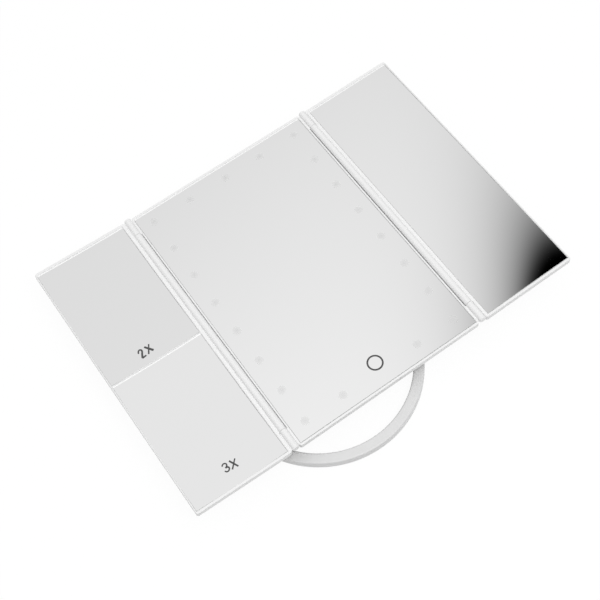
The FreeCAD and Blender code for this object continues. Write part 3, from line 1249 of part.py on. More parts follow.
def stand():
    ring = body("stand_ring")
    section = ring_section(ring, "rim_section", "Dims.ring_radius", RING_BACK,
                           "Dims.ring_width", "Dims.ring_height")
    rim_turn = ring.newObject("PartDesign::Revolution", "rim")
    rim_turn.Profile = section
    rim_turn.ReferenceAxis = (section, ["V_Axis"])
    rim_turn.Angle = 360
    doc.recompute()
    base = fillet(ring, rim_turn, lambda edge: isinstance(edge.Curve, Part.Circle),
                  "Dims.ring_round", "rim_edges")
    gap = sketch(ring, "hub_gap_plan", at=RING_BACK)
    rectangle(gap, "0", "0", f"2 * {EAR_NEAR}", "4 * Dims.ring_width")
    pocket(ring, gap, "Dims.ring_height", "hub_gap", forward=True)
    for side, sign in (("left", "-"), ("right", "")):
        ear = sketch(ring, f"{side}_ear_plan", plane="YZ_Plane", at=f"{sign}{EAR_NEAR}")
        circle(ear, "0", TILT_Z, "Dims.ring_height / 2")
        pad(ring, ear, "Dims.ear_length", f"{side}_ear", reverse=bool(sign))
        hole = sketch(ring, f"{side}_pin_plan", plane="YZ_Plane", at=f"{sign}{EAR_NEAR}")
        circle(hole, "0", TILT_Z, "Dims.tilt_pin_radius")
        pocket(ring, hole, "Dims.tilt_pin_grip", f"{side}_pin_hole", forward=not sign)
    groove = ring_section(ring, "groove_section", "Dims.ring_radius", RING_BACK,
                          "Dims.strip_grip_width + 2 * Dims.foot_play",
                          "Dims.strip_grip_depth - Dims.foot_proud")
    turned = ring.newObject("PartDesign::Groove", "strip_groove")
    turned.Profile = groove
    turned.ReferenceAxis = (groove, ["V_Axis"])
    turned.Angle = 360
    doc.recompute()
    keep("stand", ring)

    half, low = "Dims.strip_grip_width / 2", f"{RING_BACK} - Dims.foot_proud"
    strip = rod("strip_disc", "0", "-Dims.ring_radius", low, f"Dims.ring_radius + {half}",
                "Dims.strip_grip_depth")
    hole = rod("strip_hole", "0", "-Dims.ring_radius", low, f"Dims.ring_radius - {half}",
               "Dims.strip_grip_depth")
    clear = block("strip_gap", f"-{EAR_FAR}", "-2 * Dims.ring_width",
                  f"{RING_BACK} - Dims.ring_height", f"2 * {EAR_FAR}",
                  "4 * Dims.ring_width", "2 * Dims.ring_height")
    keep("stand", cut("ring_grip_strip", strip, hole, clear))

    reach = f"({EAR_NEAR} + Dims.tilt_pin_grip)"
    pin = rod("tilt_rod", f"-{reach}", "0", TILT_Z, "Dims.tilt_pin_radius", f"2 * {reach}",
              "X")
    keep("stand", group("tilt_pin", pin))
    washers = []
    for side, x in (("left", f"-{EAR_NEAR}"),
                    ("right", f"{EAR_NEAR} - Dims.tilt_washer_depth")):
        disc = rod(f"{side}_washer_disc", x, "0", TILT_Z, "Dims.tilt_washer_radius",
                   "Dims.tilt_washer_depth", "X")
        hole = rod(f"{side}_washer_hole", x, "0", TILT_Z, "Dims.tilt_pin_radius",
                   "Dims.tilt_washer_depth", "X")
        washers.append(cut(f"{side}_washer", disc, hole))
    keep("stand", group("tilt_washers", *washers))


# ---------------------------------------------------------------- the whole mirror

def build():
    centre_frame()
    hinge_pins()
    keep("middle", flat_pane("centre_mirror", "0", "Dims.pane_width", "Dims.pane_height"))
    openings = [(x, y, "Dims.led_hole_radius") for x, y in light_places()]
    openings.append(("0", f"(-{TOUCH_DROP})", "Dims.touch_hole_radius"))
    adhesive("centre_mirror_tape", "middle", "0", "Dims.pane_width", "Dims.pane_height",
             openings)
    rear_cover()
    battery_tray()
    cells()
    light_boards()
    touch_switch()
    control_board()
    power_socket()
    slide_switch()
    wiring()
    cover_screws()
    battery_door()
    left_wing()
    right_wing()
    swivel()
    stand()
    doc.recompute()


def about(point, turned):
    """The placement that turns about a point."""
    return Placement(point, Rotation()) * Placement(Vector(), turned) \
        * Placement(-point, Rotation())


def assemble():
    """Hangs the wings on their hinge lines, turns the stand, and stands it all on Z = 0."""
    hinge = Vector(value(HINGE_X), 0, value("Dims.hinge_rise"))
    line = Vector(0, 0, hinge.z)
    outwards = Placement(Vector(hinge.x, 0, 0), Rotation())
    half_turn = Placement(Vector(), Rotation(Vector(0, 0, 1), 180))
    forward = Vector(0, -1, 0)
    right = outwards * about(line, Rotation(forward, value("Dims.fold_right_angle")))
    left = half_turn * outwards * about(line, Rotation(forward, value("Dims.fold_left_angle")))
    swung = Placement(Vector(), Rotation(Vector(0, 0, 1), -value("Dims.swivel_angle")))
    own = {"left_wing": left, "right_wing": right, "swivel": swung, "stand": swung}
    for where, pieces in PIECES.items():
        for piece in pieces:
            piece.Placement = own.get(where, Placement())
    box = FreeCAD.BoundBox()
    for pieces in PIECES.values():
        for piece in pieces:
            box.add(piece.Shape.optimalBoundingBox(False))
    shift = Placement(Vector(-box.Center.x, -box.Center.y, -box.ZMin), Rotation())
    for pieces in PIECES.values():
        for piece in pieces:
            piece.Placement = shift * piece.Placement
    return shift, own


def report_places(shift, own):
    """Prints where the joints, the mounts and the stand's opening lie."""
    print("shift", [round(number, 4) for number in shift.Base])
    hinge = Vector(value(HINGE_X), 0, value("Dims.hinge_rise"))
    print("left_hinge", shift.multVec(Vector(-hinge.x, 0, hinge.z)))
    print("right_hinge", shift.multVec(hinge))
    print("swivel", shift.multVec(Vector(0, 0, value(TABLE_BACK))))
    print("tilt", shift.multVec(Vector(0, 0, value(TILT_Z))),
          "along", own["stand"].Rotation.multVec(Vector(1, 0, 0)))
    print("ring_middle", shift.multVec(own["stand"].multVec(
        Vector(0, -value("Dims.ring_radius"), value(RING_BACK)))))
    print("socket", shift.multVec(Vector(value(HOUSING_SIDE), value(USB_Y),
                                         value(USB_Z))))
    print("knob", shift.multVec(Vector(value(HOUSING_SIDE), value(SWITCH_Y),
                                       value(SWITCH_Z))))
    print("housing_back", shift.multVec(Vector(0, 0, value(HOUSING_BACK))))


def check():
    for made in doc.Objects:
        if "Invalid" in made.State or "Error" in made.State:
            raise RuntimeError(f"{made.Label} failed: {made.State}")
    for pieces in PIECES.values():
        for piece in pieces:
            if piece.Shape.isNull() or not piece.Shape.isValid():
                raise RuntimeError(f"{piece.Label} has no valid shape")


build()
shift, own = assemble()
check()
os.makedirs("parts", exist_ok=True)
for where, pieces in PIECES.items():
    for piece in pieces:
        piece.Shape.exportStep(f"parts/{piece.Label}.step")
        print(f"{where:11s} {piece.Label:22s} solids {len(piece.Shape.Solids):3d}"
              f"  volume {piece.Shape.Volume / 1000:8.3f} cm3")
report_places(shift, own)
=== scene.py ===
# %% [markdown]
# # A trifold vanity mirror
# The real thing is a make-up mirror made of three moulded plastic trays. The middle tray
# holds a flat pane with small lights behind it, the right one a plain pane and the left
# one two hollow panes that magnify. A round stand turns and tilts on the back. The CAD
# model gives every solid part in metres, so this script only adds what CAD leaves out:
# finishes, printed marks, the windows over the lights, small fasteners, light and camera.

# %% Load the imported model
import json
import math

import bmesh
import bpy
from mathutils import Matrix, Vector


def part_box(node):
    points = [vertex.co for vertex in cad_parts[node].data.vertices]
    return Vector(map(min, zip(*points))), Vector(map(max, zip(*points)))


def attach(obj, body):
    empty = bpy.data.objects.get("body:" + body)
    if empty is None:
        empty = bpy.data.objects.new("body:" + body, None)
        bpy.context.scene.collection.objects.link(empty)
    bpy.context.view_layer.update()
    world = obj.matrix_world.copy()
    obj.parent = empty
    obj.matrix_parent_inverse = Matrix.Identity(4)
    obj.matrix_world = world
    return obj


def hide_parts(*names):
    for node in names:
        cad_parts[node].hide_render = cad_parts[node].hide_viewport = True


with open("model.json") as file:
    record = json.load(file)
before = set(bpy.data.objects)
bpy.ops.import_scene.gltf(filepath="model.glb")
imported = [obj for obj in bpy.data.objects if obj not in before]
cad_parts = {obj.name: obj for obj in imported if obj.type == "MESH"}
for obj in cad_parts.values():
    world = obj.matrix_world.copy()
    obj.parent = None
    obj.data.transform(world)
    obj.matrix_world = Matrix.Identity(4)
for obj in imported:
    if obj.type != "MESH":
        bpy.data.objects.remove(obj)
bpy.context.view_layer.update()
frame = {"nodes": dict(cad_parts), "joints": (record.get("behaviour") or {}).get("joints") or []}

nodes = frame["nodes"]

# %% [markdown]
# ## Where things are
# The middle of the flat pane gives the middle of the panel, and the joints give the hinge
# lines. Each added piece starts from a place of that kind, read from its CAD neighbour, so
# it stays in its place when a size of the model changes.

# %% Places read from the model
MM = 0.001
pane_low, pane_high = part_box("centre_mirror")
pane_middle = (pane_low + pane_high) / 2
PANE_SINK = 0.7 * MM  # how far the bezel's lip stands above the glass
panel = Vector((pane_middle.x, pane_middle.y, pane_high.z + PANE_SINK))
joints = {joint["name"]: joint for joint in frame["joints"]}
left_hinge = Vector(joints["left_wing_hinge"]["pos_m"])
left_fold = math.radians(-joints["left_wing_hinge"]["range_deg"][0])
print("panel middle in mm:", [round(1000 * c, 2) for c in panel])
print("left wing folded forward by", round(math.degrees(left_fold), 1), "degrees")

# %% [markdown]
# ## The camera
# A product shot of a small thing is taken from about a metre away with a long lens, so
# that its sides stay almost parallel. The camera's axes are set as three directions:
# its right, its up and the way back from what it looks at. A matrix with those three as
# columns turns the camera exactly, where a pair of angles would only come near.

# %% Camera
CAMERA_PLACE = Vector((-217.17, -431.36, 884.11)) * MM  # from the panel's middle
CAMERA_RIGHT = Vector((0.81800, -0.57014, -0.07634))
CAMERA_UP = Vector((0.53860, 0.71254, 0.44966))
LENS_MM = 70.34
SENSOR_MM = 36.0

camera_data = bpy.data.cameras.new("camera")
camera_data.lens = LENS_MM
camera_data.sensor_width = SENSOR_MM
camera = bpy.data.objects.new("camera", camera_data)
camera_back = CAMERA_RIGHT.cross(CAMERA_UP)
turned = Matrix((CAMERA_RIGHT, CAMERA_UP, camera_back)).transposed().to_4x4()
camera.matrix_world = Matrix.Translation(panel + CAMERA_PLACE) @ turned
bpy.context.scene.collection.objects.link(camera)
bpy.context.scene.camera = camera
camera_away = (camera.matrix_world.translation - panel).length
print("camera", round(camera_away, 3), "m from the panel")

# %% [markdown]
# ## Helpers for finishes
# Colours are picked on a screen as sRGB hex values, but a renderer adds light in linear
# numbers, so one function turns one into the other. A second adds a node, sets it and
# links it in one call. Texture scales are worked out from the real grain in millimetres.

# %% From hex to linear
def linear(hex_colour):
    """An sRGB hex colour as linear red, green, blue and an alpha of 1."""
    parts = [int(hex_colour[start:start + 2], 16) / 255 for start in (1, 3, 5)]
    return [part / 12.92 if part <= 0.04045 else ((part + 0.055) / 1.055) ** 2.4
            for part in parts] + [1.0]


print("middle grey #808080 is", round(linear("#808080")[0], 3), "in linear light")


# %% One helper that adds a node
def feed(tree, node, inputs):
    """Sets inputs by name or number. A node that is given stands for its first output."""
    for key, given in inputs.items():
        socket = node.inputs[key] if isinstance(key, int) else next(
            one for one in node.inputs if one.name == key and one.enabled)
        if isinstance(given, bpy.types.Node):
            given = next(one for one in given.outputs if one.enabled)
        if isinstance(given, bpy.types.NodeSocket):
            tree.links.new(given, socket)
        else:
            socket.default_value = given


def add_node(tree, kind, inputs=None, **settings):
    """One node with its settings and its inputs."""
    node = tree.nodes.new(kind)
    for name, setting in settings.items():
        setattr(node, name, setting)
    feed(tree, node, inputs or {})
    return node


# %% A new finish, and the nodes that wear it
def grain(size_mm):
    """The texture scale at which one grain is this many millimetres in metre space."""
    return 1 / (size_mm * MM)


def start_finish(name, colour, roughness, **numbers):
    """A new material: itself, its node tree, its surface shader and its place in metres."""
    material = bpy.data.materials.new(name)
    material.use_nodes = True
    tree = material.node_tree
    surface = tree.nodes["Principled BSDF"]
    feed(tree, surface, {"Base Color": linear(colour), "Roughness": roughness})
    feed(tree, surface, {key.replace("_", " "): number for key, number in numbers.items()})
    return material, tree, surface, add_node(tree, "ShaderNodeTexCoord")


def dress(material, *names):
    """Gives CAD nodes their finish through their material slots."""
    for name in names:
        if not nodes[name].material_slots:
            nodes[name].data.materials.append(material)
        for slot in nodes[name].material_slots:
            slot.material = material
    print(material.name, "on", ", ".join(names))


# %% [markdown]
# ## White ABS, three surfaces
# Bezels, hinge knuckles, backs and stand are ABS, moulded in steel tools. The tool's
# surface decides the look: satin for the bezels, so a soft broad highlight; spark eroded
# for the backs, so nearly matt with a fine grain; polished for the stand, so a tighter
# highlight. The stand's white is set darker than the bezels' white: the shade it lies in
# under the panel is painted into its colour. One loop makes the three from the same
# parts, because only numbers differ.
# The real grain is 0.05 to 0.1 mm, too fine to show, so it is drawn 0.6 to 1.2 mm wide.
# The melt's flow, in patches of some 12 mm, changes the sheen a little.

# %% ABS finishes
ABS_IOR = 1.54
WHITE_PLASTICS = [
    # name, lighter white, darker white, low and high roughness, grain in mm, bump
    ("satin_white_abs", "#f7f7f7", "#f5f5f5", 0.30, 0.40, 0.8, 0.010),
    ("spark_eroded_white_abs", "#f1f1f0", "#ededec", 0.50, 0.62, 0.6, 0.10),
    # the stand's whites are darker than the bezels': painted shade
    ("polished_white_abs_painted_shade", "#e5e5e5", "#e1e1e1", 0.26, 0.34, 1.2, 0.005),
]
FLOW_MM = 12.0
white_plastic = {}
for name, light_white, dark_white, smooth, rough, grain_mm, bump in WHITE_PLASTICS:
    material, tree, surface, place = start_finish(name, light_white, smooth, IOR=ABS_IOR)
    at = place.outputs["Object"]
    flow = add_node(tree, "ShaderNodeTexNoise",
                    {"Vector": at, "Scale": grain(FLOW_MM), "Detail": 3.0})
    tint = add_node(tree, "ShaderNodeMix", {
        "Factor": flow, "A": linear(dark_white), "B": linear(light_white)},
        data_type="RGBA")
    sheen = add_node(tree, "ShaderNodeMapRange",
                     {"Value": flow, "To Min": smooth, "To Max": rough})
    tool = add_node(tree, "ShaderNodeTexNoise",
                    {"Vector": at, "Scale": grain(grain_mm), "Detail": 2.0})
    relief = add_node(tree, "ShaderNodeBump",
                      {"Height": tool, "Strength": bump, "Distance": 0.05 * MM})
    feed(tree, surface, {"Base Color": tint, "Roughness": sheen, "Normal": relief})
    white_plastic[name] = material
dress(white_plastic["satin_white_abs"],
      "centre_frame", "left_wing_frame", "right_wing_frame")
dress(white_plastic["spark_eroded_white_abs"],
      "rear_cover", "left_wing_back", "right_wing_back", "battery_door")
dress(white_plastic["polished_white_abs_painted_shade"], "stand_ring", "swivel_turntable")

# %% [markdown]
# ## Silvered panes
# A mirror is float glass with silver on its back and paint over the silver. What the eye
# meets is almost only the silver, so the front is a metal of high reflectance with next
# to no roughness. The ground edge scatters light and shows the green of the iron in the
# glass. The face's own normal tells front, edge and painted back apart, so one material
# does all three. The magnifying panes are the same glass, slumped hollow before silvering,
# which leaves them a trace softer and greyer. A pale line about a millimetre wide is
# painted along the top edge of each pane. It is a painted reflection of the lit lip of its
# bezel, which a real pane shows there once more because its silver lies behind the glass.
# The pane's own height, from 0 at its foot to 1, tells where the painted line starts.
# Panes of one kind are about as high as each other, so the last one gives the share.

# %% Silvered glass
SILVER = "#f6f6f6"
# The lip colour is a painted reflection of the bezel's lit lip along each pane's top edge.
GROUND_EDGE, BACK_PAINT, PAINTED_LIP_REFLECTION = "#d0d8d3", "#7d8488", "#ffffff"
PAINTED_LIP_REFLECTION_MM, PAINTED_LIP_REFLECTION_BLUR = 1.25, 0.2
EDGE_ENDS, FACE_STARTS = 0.55, 0.62  # the share of a normal that lies along the pane's axis
EDGE_ROUGHNESS = 0.45
for name, silver, softness, panes in (
        ("silvered_float_glass", SILVER, 0.008, ("centre_mirror", "right_mirror")),
        ("silvered_hollow_glass", "#f2f2f2", 0.014, ("mirror_2x", "mirror_3x"))):
    material, tree, surface, place = start_finish(name, silver, softness)
    facing = add_node(tree, "ShaderNodeSeparateXYZ", {"Vector": place.outputs["Normal"]})
    front, back = [add_node(tree, "ShaderNodeMapRange", {
        "Value": facing.outputs["Z"], "From Min": way * EDGE_ENDS,
        "From Max": way * FACE_STARTS}) for way in (1, -1)]
    rim = add_node(tree, "ShaderNodeMix", {
        "Factor": back, "A": linear(GROUND_EDGE), "B": linear(BACK_PAINT)},
        data_type="RGBA")
    colour = add_node(tree, "ShaderNodeMix", {
        "Factor": front, "A": rim, "B": linear(silver)}, data_type="RGBA")
    low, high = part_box(panes[-1])
    share = PAINTED_LIP_REFLECTION_MM * MM / (high.y - low.y)
    upward = add_node(tree, "ShaderNodeSeparateXYZ", {"Vector": place.outputs["Generated"]})
    # Painted reflection: a white band with no metal along the top edge of the pane.
    painted_lip_reflection = add_node(tree, "ShaderNodeMapRange", {
        "Value": upward.outputs["Y"], "From Min": 1 - share,
        "From Max": 1 - (1 - PAINTED_LIP_REFLECTION_BLUR) * share})
    shown = add_node(tree, "ShaderNodeMix", {
        "Factor": painted_lip_reflection, "A": colour, "B": linear(PAINTED_LIP_REFLECTION)}, data_type="RGBA")
    silver_left = add_node(tree, "ShaderNodeMath", {0: front, 1: painted_lip_reflection},
                           operation="SUBTRACT", use_clamp=True)
    smoothness = add_node(tree, "ShaderNodeMapRange",
                          {"Value": silver_left, "To Min": EDGE_ROUGHNESS,
                           "To Max": softness})
    feed(tree, surface, {"Base Color": shown, "Metallic": silver_left,
                         "Roughness": smoothness})
    dress(material, *panes)

# %% [markdown]
# ## Metals
# Pins, screws and washers are zinc-plated steel: bright grey with a faint mottle from the
# bath. Springs and contacts are nickel-plated and warmer. The inlet's shell is tinned,
# and dark inside, where its plastic tongue sits. Metals keep the default IOR and take
# their look from the colour, so one loop makes all three.

# %% Plated metals
METALS = [
    # name, colour, stain, low and high roughness, mottle in mm, nodes
    ("zinc_plated_steel", "#c9ccd0", "#aeb3b8", 0.22, 0.38, 1.6,
     ("hinge_pins", "tilt_pin", "tilt_washers", "swivel_screw", "swivel_washer",
      "board_screws", "cover_screws")),
    ("nickel_plated_steel", "#cdc7ba", "#b5ae9f", 0.20, 0.34, 1.2,
     ("battery_springs", "battery_contacts")),
    ("tinned_steel_shell", "#c6c8c9", "#b0b2b4", 0.26, 0.40, 2.0, ("usb_socket",)),
]
plated = {}
for name, bright, stain, smooth, rough, mottle_mm, parts in METALS:
    material, tree, surface, place = start_finish(name, bright, smooth, Metallic=1.0)
    mottle = add_node(tree, "ShaderNodeTexNoise", {
        "Vector": place.outputs["Object"], "Scale": grain(mottle_mm), "Detail": 4.0})
    colour = add_node(tree, "ShaderNodeMix", {
        "Factor": mottle, "A": linear(stain), "B": linear(bright)}, data_type="RGBA")
    wear = add_node(tree, "ShaderNodeMapRange",
                    {"Value": mottle, "To Min": smooth, "To Max": rough})
    feed(tree, surface, {"Base Color": colour, "Roughness": wear})
    plated[name] = material
    dress(material, *parts)

# %% [markdown]
# ## Rubber, foam, acetal and the small plastics
# The grip strip and foot are soft thermoplastic rubber: dull, with a dusty bloom. Foam tape
# is open and pitted. The wear ring is acetal, waxy. Cases, knob and tray are harder
# plastics in their own greys. All are dielectrics with a mottle in colour and sheen and
# a pitted surface, so one table holds what differs. Pits smaller than 0.3 mm are drawn
# at that size, since finer ones would not show.

# %% Soft and small parts
SMALL_PLASTICS = [
    # name, light, dark, low and high roughness, IOR, pits in mm, bump, nodes
    ("soft_white_rubber", "#d9dad8", "#cccdca", 0.62, 0.80, 1.50, 0.7, 0.4,
     ("ring_grip_strip", "hub_foot_pad")),
    ("white_foam_tape", "#dcdcd6", "#c9c9c1", 0.85, 0.98, 1.45, 0.3, 1.0,
     ("centre_mirror_tape", "right_mirror_tape")),
    ("natural_acetal", "#ecebe4", "#e2e1d8", 0.34, 0.46, 1.48, 0.8, 0.1,
     ("swivel_wear_ring",)),
    ("grey_polypropylene", "#d4d5d6", "#c8c9cb", 0.42, 0.55, 1.49, 0.9, 0.2,
     ("battery_tray",)),
    ("black_nylon", "#26272a", "#1c1d1f", 0.38, 0.52, 1.53, 0.5, 0.3,
     ("switch_body", "board_parts")),
    ("moulded_grey_abs", "#8f9194", "#84868a", 0.40, 0.52, 1.54, 0.5, 0.3,
     ("switch_knob",)),
    ("carbon_filled_foam", "#3a3b3d", "#28292b", 0.80, 0.95, 1.50, 0.3, 1.0,
     ("touch_electrode",)),
    ("yellow_phosphor_lens", "#efe6a2", "#e6d989", 0.25, 0.35, 1.52, 0.6, 0.2, ("leds",)),
]
small_plastic = {}
for name, light, dark, smooth, rough, ior, pit_mm, bump, parts in SMALL_PLASTICS:
    material, tree, surface, place = start_finish(name, light, smooth, IOR=ior)
    pits = add_node(tree, "ShaderNodeTexNoise", {
        "Vector": place.outputs["Object"], "Scale": grain(pit_mm), "Detail": 4.0})
    colour = add_node(tree, "ShaderNodeMix", {
        "Factor": pits, "A": linear(dark), "B": linear(light)}, data_type="RGBA")
    sheen = add_node(tree, "ShaderNodeMapRange",
                     {"Value": pits, "To Min": smooth, "To Max": rough})
    relief = add_node(tree, "ShaderNodeBump",
                      {"Height": pits, "Strength": bump, "Distance": 0.1 * MM})
    feed(tree, surface, {"Base Color": colour, "Roughness": sheen, "Normal": relief})
    small_plastic[name] = material
    dress(material, *parts)

# %% [markdown]
# ## Circuit boards
# Boards are glass-fibre laminate under solder resist: white where light has to bounce
# back, green elsewhere. Copper tracks show through as slightly raised, lighter lines. They
# run square to each other, which a brick pattern with 1.6 mm rows draws well enough for
# boards that stay inside the case.

# %% Solder resist over copper tracks
TRACK_PITCH_MM = 1.6
for name, resist, track, parts in (
        ("white_solder_resist", "#eeeeea", "#f6f5ee",
         ("led_strip_left", "led_strip_right", "led_strip_top", "led_strip_bottom")),
        ("green_solder_resist", "#1f6b3c", "#2f8650", ("touch_board", "control_board"))):
    material, tree, surface, place = start_finish(name, resist, 0.32, IOR=1.56)
    tracks = add_node(tree, "ShaderNodeTexBrick", {
        "Vector": place.outputs["Object"], "Scale": grain(TRACK_PITCH_MM),
        "Brick Width": 4.0, "Row Height": 1.0, "Mortar Size": 0.16,
        "Color1": linear(resist), "Color2": linear(resist), "Mortar": linear(track)})
    relief = add_node(tree, "ShaderNodeBump", {"Height": tracks.outputs["Fac"],
                                               "Strength": 0.4, "Distance": 0.05 * MM})
    feed(tree, surface, {"Base Color": tracks, "Normal": relief})
    dress(material, *parts)

# %% [markdown]
# ## Cells and leads
# A cell is a steel can in a printed sleeve: dark along its length, with a copper-coloured
# band and bare steel where the sleeve stops. Neighbours lie head to tail, so both ends
# get the band. It is cut by position along the can, so it stays sharp at any size. The
# leads are stranded copper in PVC, red or black. Each lead is a mesh island of its own,
# and the island's random number picks its colour, as a reel would.

# %% Cell sleeves and lead jackets
SLEEVE, COPPER_BAND, BARE_CAN = "#2b2d31", "#b87a45", "#c3c5c7"
cells_low, cells_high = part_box("battery_cells")
material, tree, surface, place = start_finish("printed_cell_sleeve", SLEEVE, 0.3)
along = add_node(tree, "ShaderNodeSeparateXYZ", {"Vector": place.outputs["Object"]})
bands = add_node(tree, "ShaderNodeValToRGB", {"Fac": add_node(
    tree, "ShaderNodeMapRange", {"Value": along.outputs["Y"], "From Min": cells_low.y,
                                 "From Max": cells_high.y})})
bands.color_ramp.interpolation = "CONSTANT"
for position, colour in ((0.0, BARE_CAN), (0.05, COPPER_BAND), (0.24, SLEEVE),
                         (0.76, COPPER_BAND), (0.95, BARE_CAN)):
    stop = bands.color_ramp.elements.new(position) if position else (
        bands.color_ramp.elements[0])
    stop.color = linear(colour)
bands.color_ramp.elements.remove(bands.color_ramp.elements[-1])
scuffs = add_node(tree, "ShaderNodeTexNoise",
                  {"Vector": place.outputs["Object"], "Scale": grain(2.0), "Detail": 3.0})
sheen = add_node(tree, "ShaderNodeMapRange",
                 {"Value": scuffs, "To Min": 0.22, "To Max": 0.4})
feed(tree, surface, {"Base Color": bands, "Roughness": sheen})
dress(material, "battery_cells")

RED_PVC, BLACK_PVC = "#b3262a", "#1f1f21"
material, tree, surface, _ = start_finish("pvc_lead_jacket", RED_PVC, 0.4, IOR=1.54)
island = add_node(tree, "ShaderNodeNewGeometry").outputs["Random Per Island"]
red_or_black = add_node(tree, "ShaderNodeMath", {0: island, 1: 0.5},
                        operation="GREATER_THAN")
colour = add_node(tree, "ShaderNodeMix", {
    "Factor": red_or_black, "A": linear(RED_PVC), "B": linear(BLACK_PVC)}, data_type="RGBA")
feed(tree, surface, {"Base Color": colour})
dress(material, "wiring")

# %% [markdown]
# ## A mesh from a few rings
# Every added piece is small: a disc, a ring, a ribbon, a screw. A screw, a disc and a ring
# are all a profile turned about a line. So one helper turns a profile of radius and
# height, and another makes the finished object, puts it on its CAD body and gives it its
# finish and its slot. Direct mesh work is used because it leaves clean, closed faces.

# %% A profile turned about a line
TURNS, SMALL_TURNS = 48, 32  # steps of a full turn, for a ring and for a small piece
MERGE = 0.001 * MM  # vertices closer than this are one


def turned_profile(mesh, profile, centre, steps=TURNS):
    """Adds a profile of (radius, height) turned about Z through centre. Returns rings."""
    rings = []
    for radius, height in profile:
        if radius:
            rings.append([mesh.verts.new(centre + Vector(
                (radius * math.cos(math.tau * step / steps),
                 radius * math.sin(math.tau * step / steps), height)))
                for step in range(steps)])
        else:
            rings.append([mesh.verts.new(centre + Vector((0, 0, height)))])
    for one, two in zip(rings, rings[1:]):
        for step in range(steps):
            corners = [one[step % len(one)], one[(step + 1) % len(one)],
                       two[(step + 1) % len(two)], two[step % len(two)]]
            mesh.faces.new(list(dict.fromkeys(corners)))
    return rings


# %% A mesh as a named piece on its body
def finish_piece(name, mesh, material, body, smooth=False):
    """The bmesh as a named object that rides a CAD body."""
    bmesh.ops.recalc_face_normals(mesh, faces=mesh.faces)
    data = bpy.data.meshes.new(name)
    mesh.to_mesh(data)
    mesh.free()
    for face in data.polygons:
        face.use_smooth = smooth
    data.materials.append(material)
    piece = bpy.data.objects.new(name, data)
    bpy.context.scene.collection.objects.link(piece)
    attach(piece, body)
    print(name, "has", len(data.vertices), "vertices and rides", body)
    return piece


# %% [markdown]
# ## Where each lump of a node is
# The lights are one CAD node with 21 lumps, and the screws are one with six. Walking from
# a vertex along its edges until nothing new turns up finds one lump, and the middle of the
# lump's box tells where the window or the new screw belongs.

# %% The middles of a node's lumps
def island_middles(node):
    """The middle of each separate lump of a CAD node, in metres at rest."""
    mesh = bmesh.new()
    mesh.from_mesh(nodes[node].data)
    mesh.transform(nodes[node].matrix_world)
    bmesh.ops.remove_doubles(mesh, verts=mesh.verts, dist=MERGE)
    left, middles = set(mesh.verts), []
    while left:
        lump, edge_of_lump = set(), [left.pop()]
        while edge_of_lump:
            vert = edge_of_lump.pop()
            lump.add(vert)
            for edge in vert.link_edges:
                other = edge.other_vert(vert)
                if other in left:
                    left.discard(other)
                    edge_of_lump.append(other)
        places = [vert.co for vert in lump]
        low = Vector([min(place[axis] for place in places) for axis in range(3)])
        high = Vector([max(place[axis] for place in places) for axis in range(3)])
        middles.append((low + high) / 2)
    mesh.free()
    return sorted(middles, key=lambda middle: (round(middle.y, 4), round(middle.x, 4)))


lights = island_middles("leds")
print("lights:", len(lights), "from y", round(1000 * lights[0].y), "to",
      round(1000 * lights[-1].y), "mm")

# %% [markdown]
# ## Windows over the lights
# The silver is etched away in a round spot over each light, most of all in its middle.
# With the light off, a spot is a touch duller than the mirror and fades out at its rim.
# Each one is a thin disc on the glass with an attribute, frost, that falls to nothing at
# the rim. Frost takes the disc from mirror to pale diffuser: less metal, and a duller
# colour. The etching is a little uneven from spot to spot, and it goes from a dot with a
# faint rim at the head of the panel to an even disc at its foot.

# %% Etched silver
ETCHED = "#d5d5d5"
UNEVEN_MM = 40.0
etched, tree, surface, place = start_finish("etched_silver_window", SILVER, 0.01, IOR=1.52)
frost = add_node(tree, "ShaderNodeAttribute", attribute_name="frost").outputs["Fac"]
uneven = add_node(tree, "ShaderNodeTexNoise", {"Vector": place.outputs["Object"],
                                               "Scale": grain(UNEVEN_MM), "Detail": 1.0})
strength = add_node(tree, "ShaderNodeMapRange",
                    {"Value": uneven, "To Min": 0.7, "To Max": 1.1})
etching = add_node(tree, "ShaderNodeMath", {0: frost, 1: strength}, operation="MULTIPLY",
                   use_clamp=True)
colour = add_node(tree, "ShaderNodeMix", {
    "Factor": etching, "A": linear(SILVER), "B": linear(ETCHED)}, data_type="RGBA")
metal_left = add_node(tree, "ShaderNodeMath", {0: 1.0, 1: etching}, operation="SUBTRACT")
feed(tree, surface, {"Base Color": colour, "Metallic": metal_left})
print("etching from", SILVER, "to", ETCHED)

# %% A disc over each light
WINDOW_PROFILE = [  # radius in mm, how frosted at the head of the panel and at its foot
    (4.0, 0.0, 0.0), (3.2, 0.20, 0.36), (2.0, 0.42, 0.44), (1.2, 0.60, 0.50),
    (0.6, 0.85, 0.58), (0.0, 0.95, 0.62)]
ON_GLASS = 0.01 * MM

windows = bmesh.new()
levels = windows.verts.layers.float.new("frost")
for light in lights:
    height = (light.y - lights[0].y) / (lights[-1].y - lights[0].y)
    rings = turned_profile(windows, [(radius * MM, 0) for radius, *_ in WINDOW_PROFILE],
                           Vector((light.x, light.y, pane_high.z + ON_GLASS)), SMALL_TURNS)
    for ring, (radius, at_head, at_foot) in zip(rings, WINDOW_PROFILE):
        for vert in ring:
            vert[levels] = at_head * height + at_foot * (1 - height)
finish_piece("light_windows", windows, etched, "middle")
print("windows:", len(lights))

# %% [markdown]
# ## The touch ring
# A dark ring marks where to touch. It is screen printed under the glass, so it is
# dull and dense with slightly uneven ink, and its middle stays mirror. The pane is drawn
# as its silver, with no clear glass in front, so the ring lies on top of it. A flat ring
# with real thickness, 0.02 mm, is enough, because ink has no other shape.

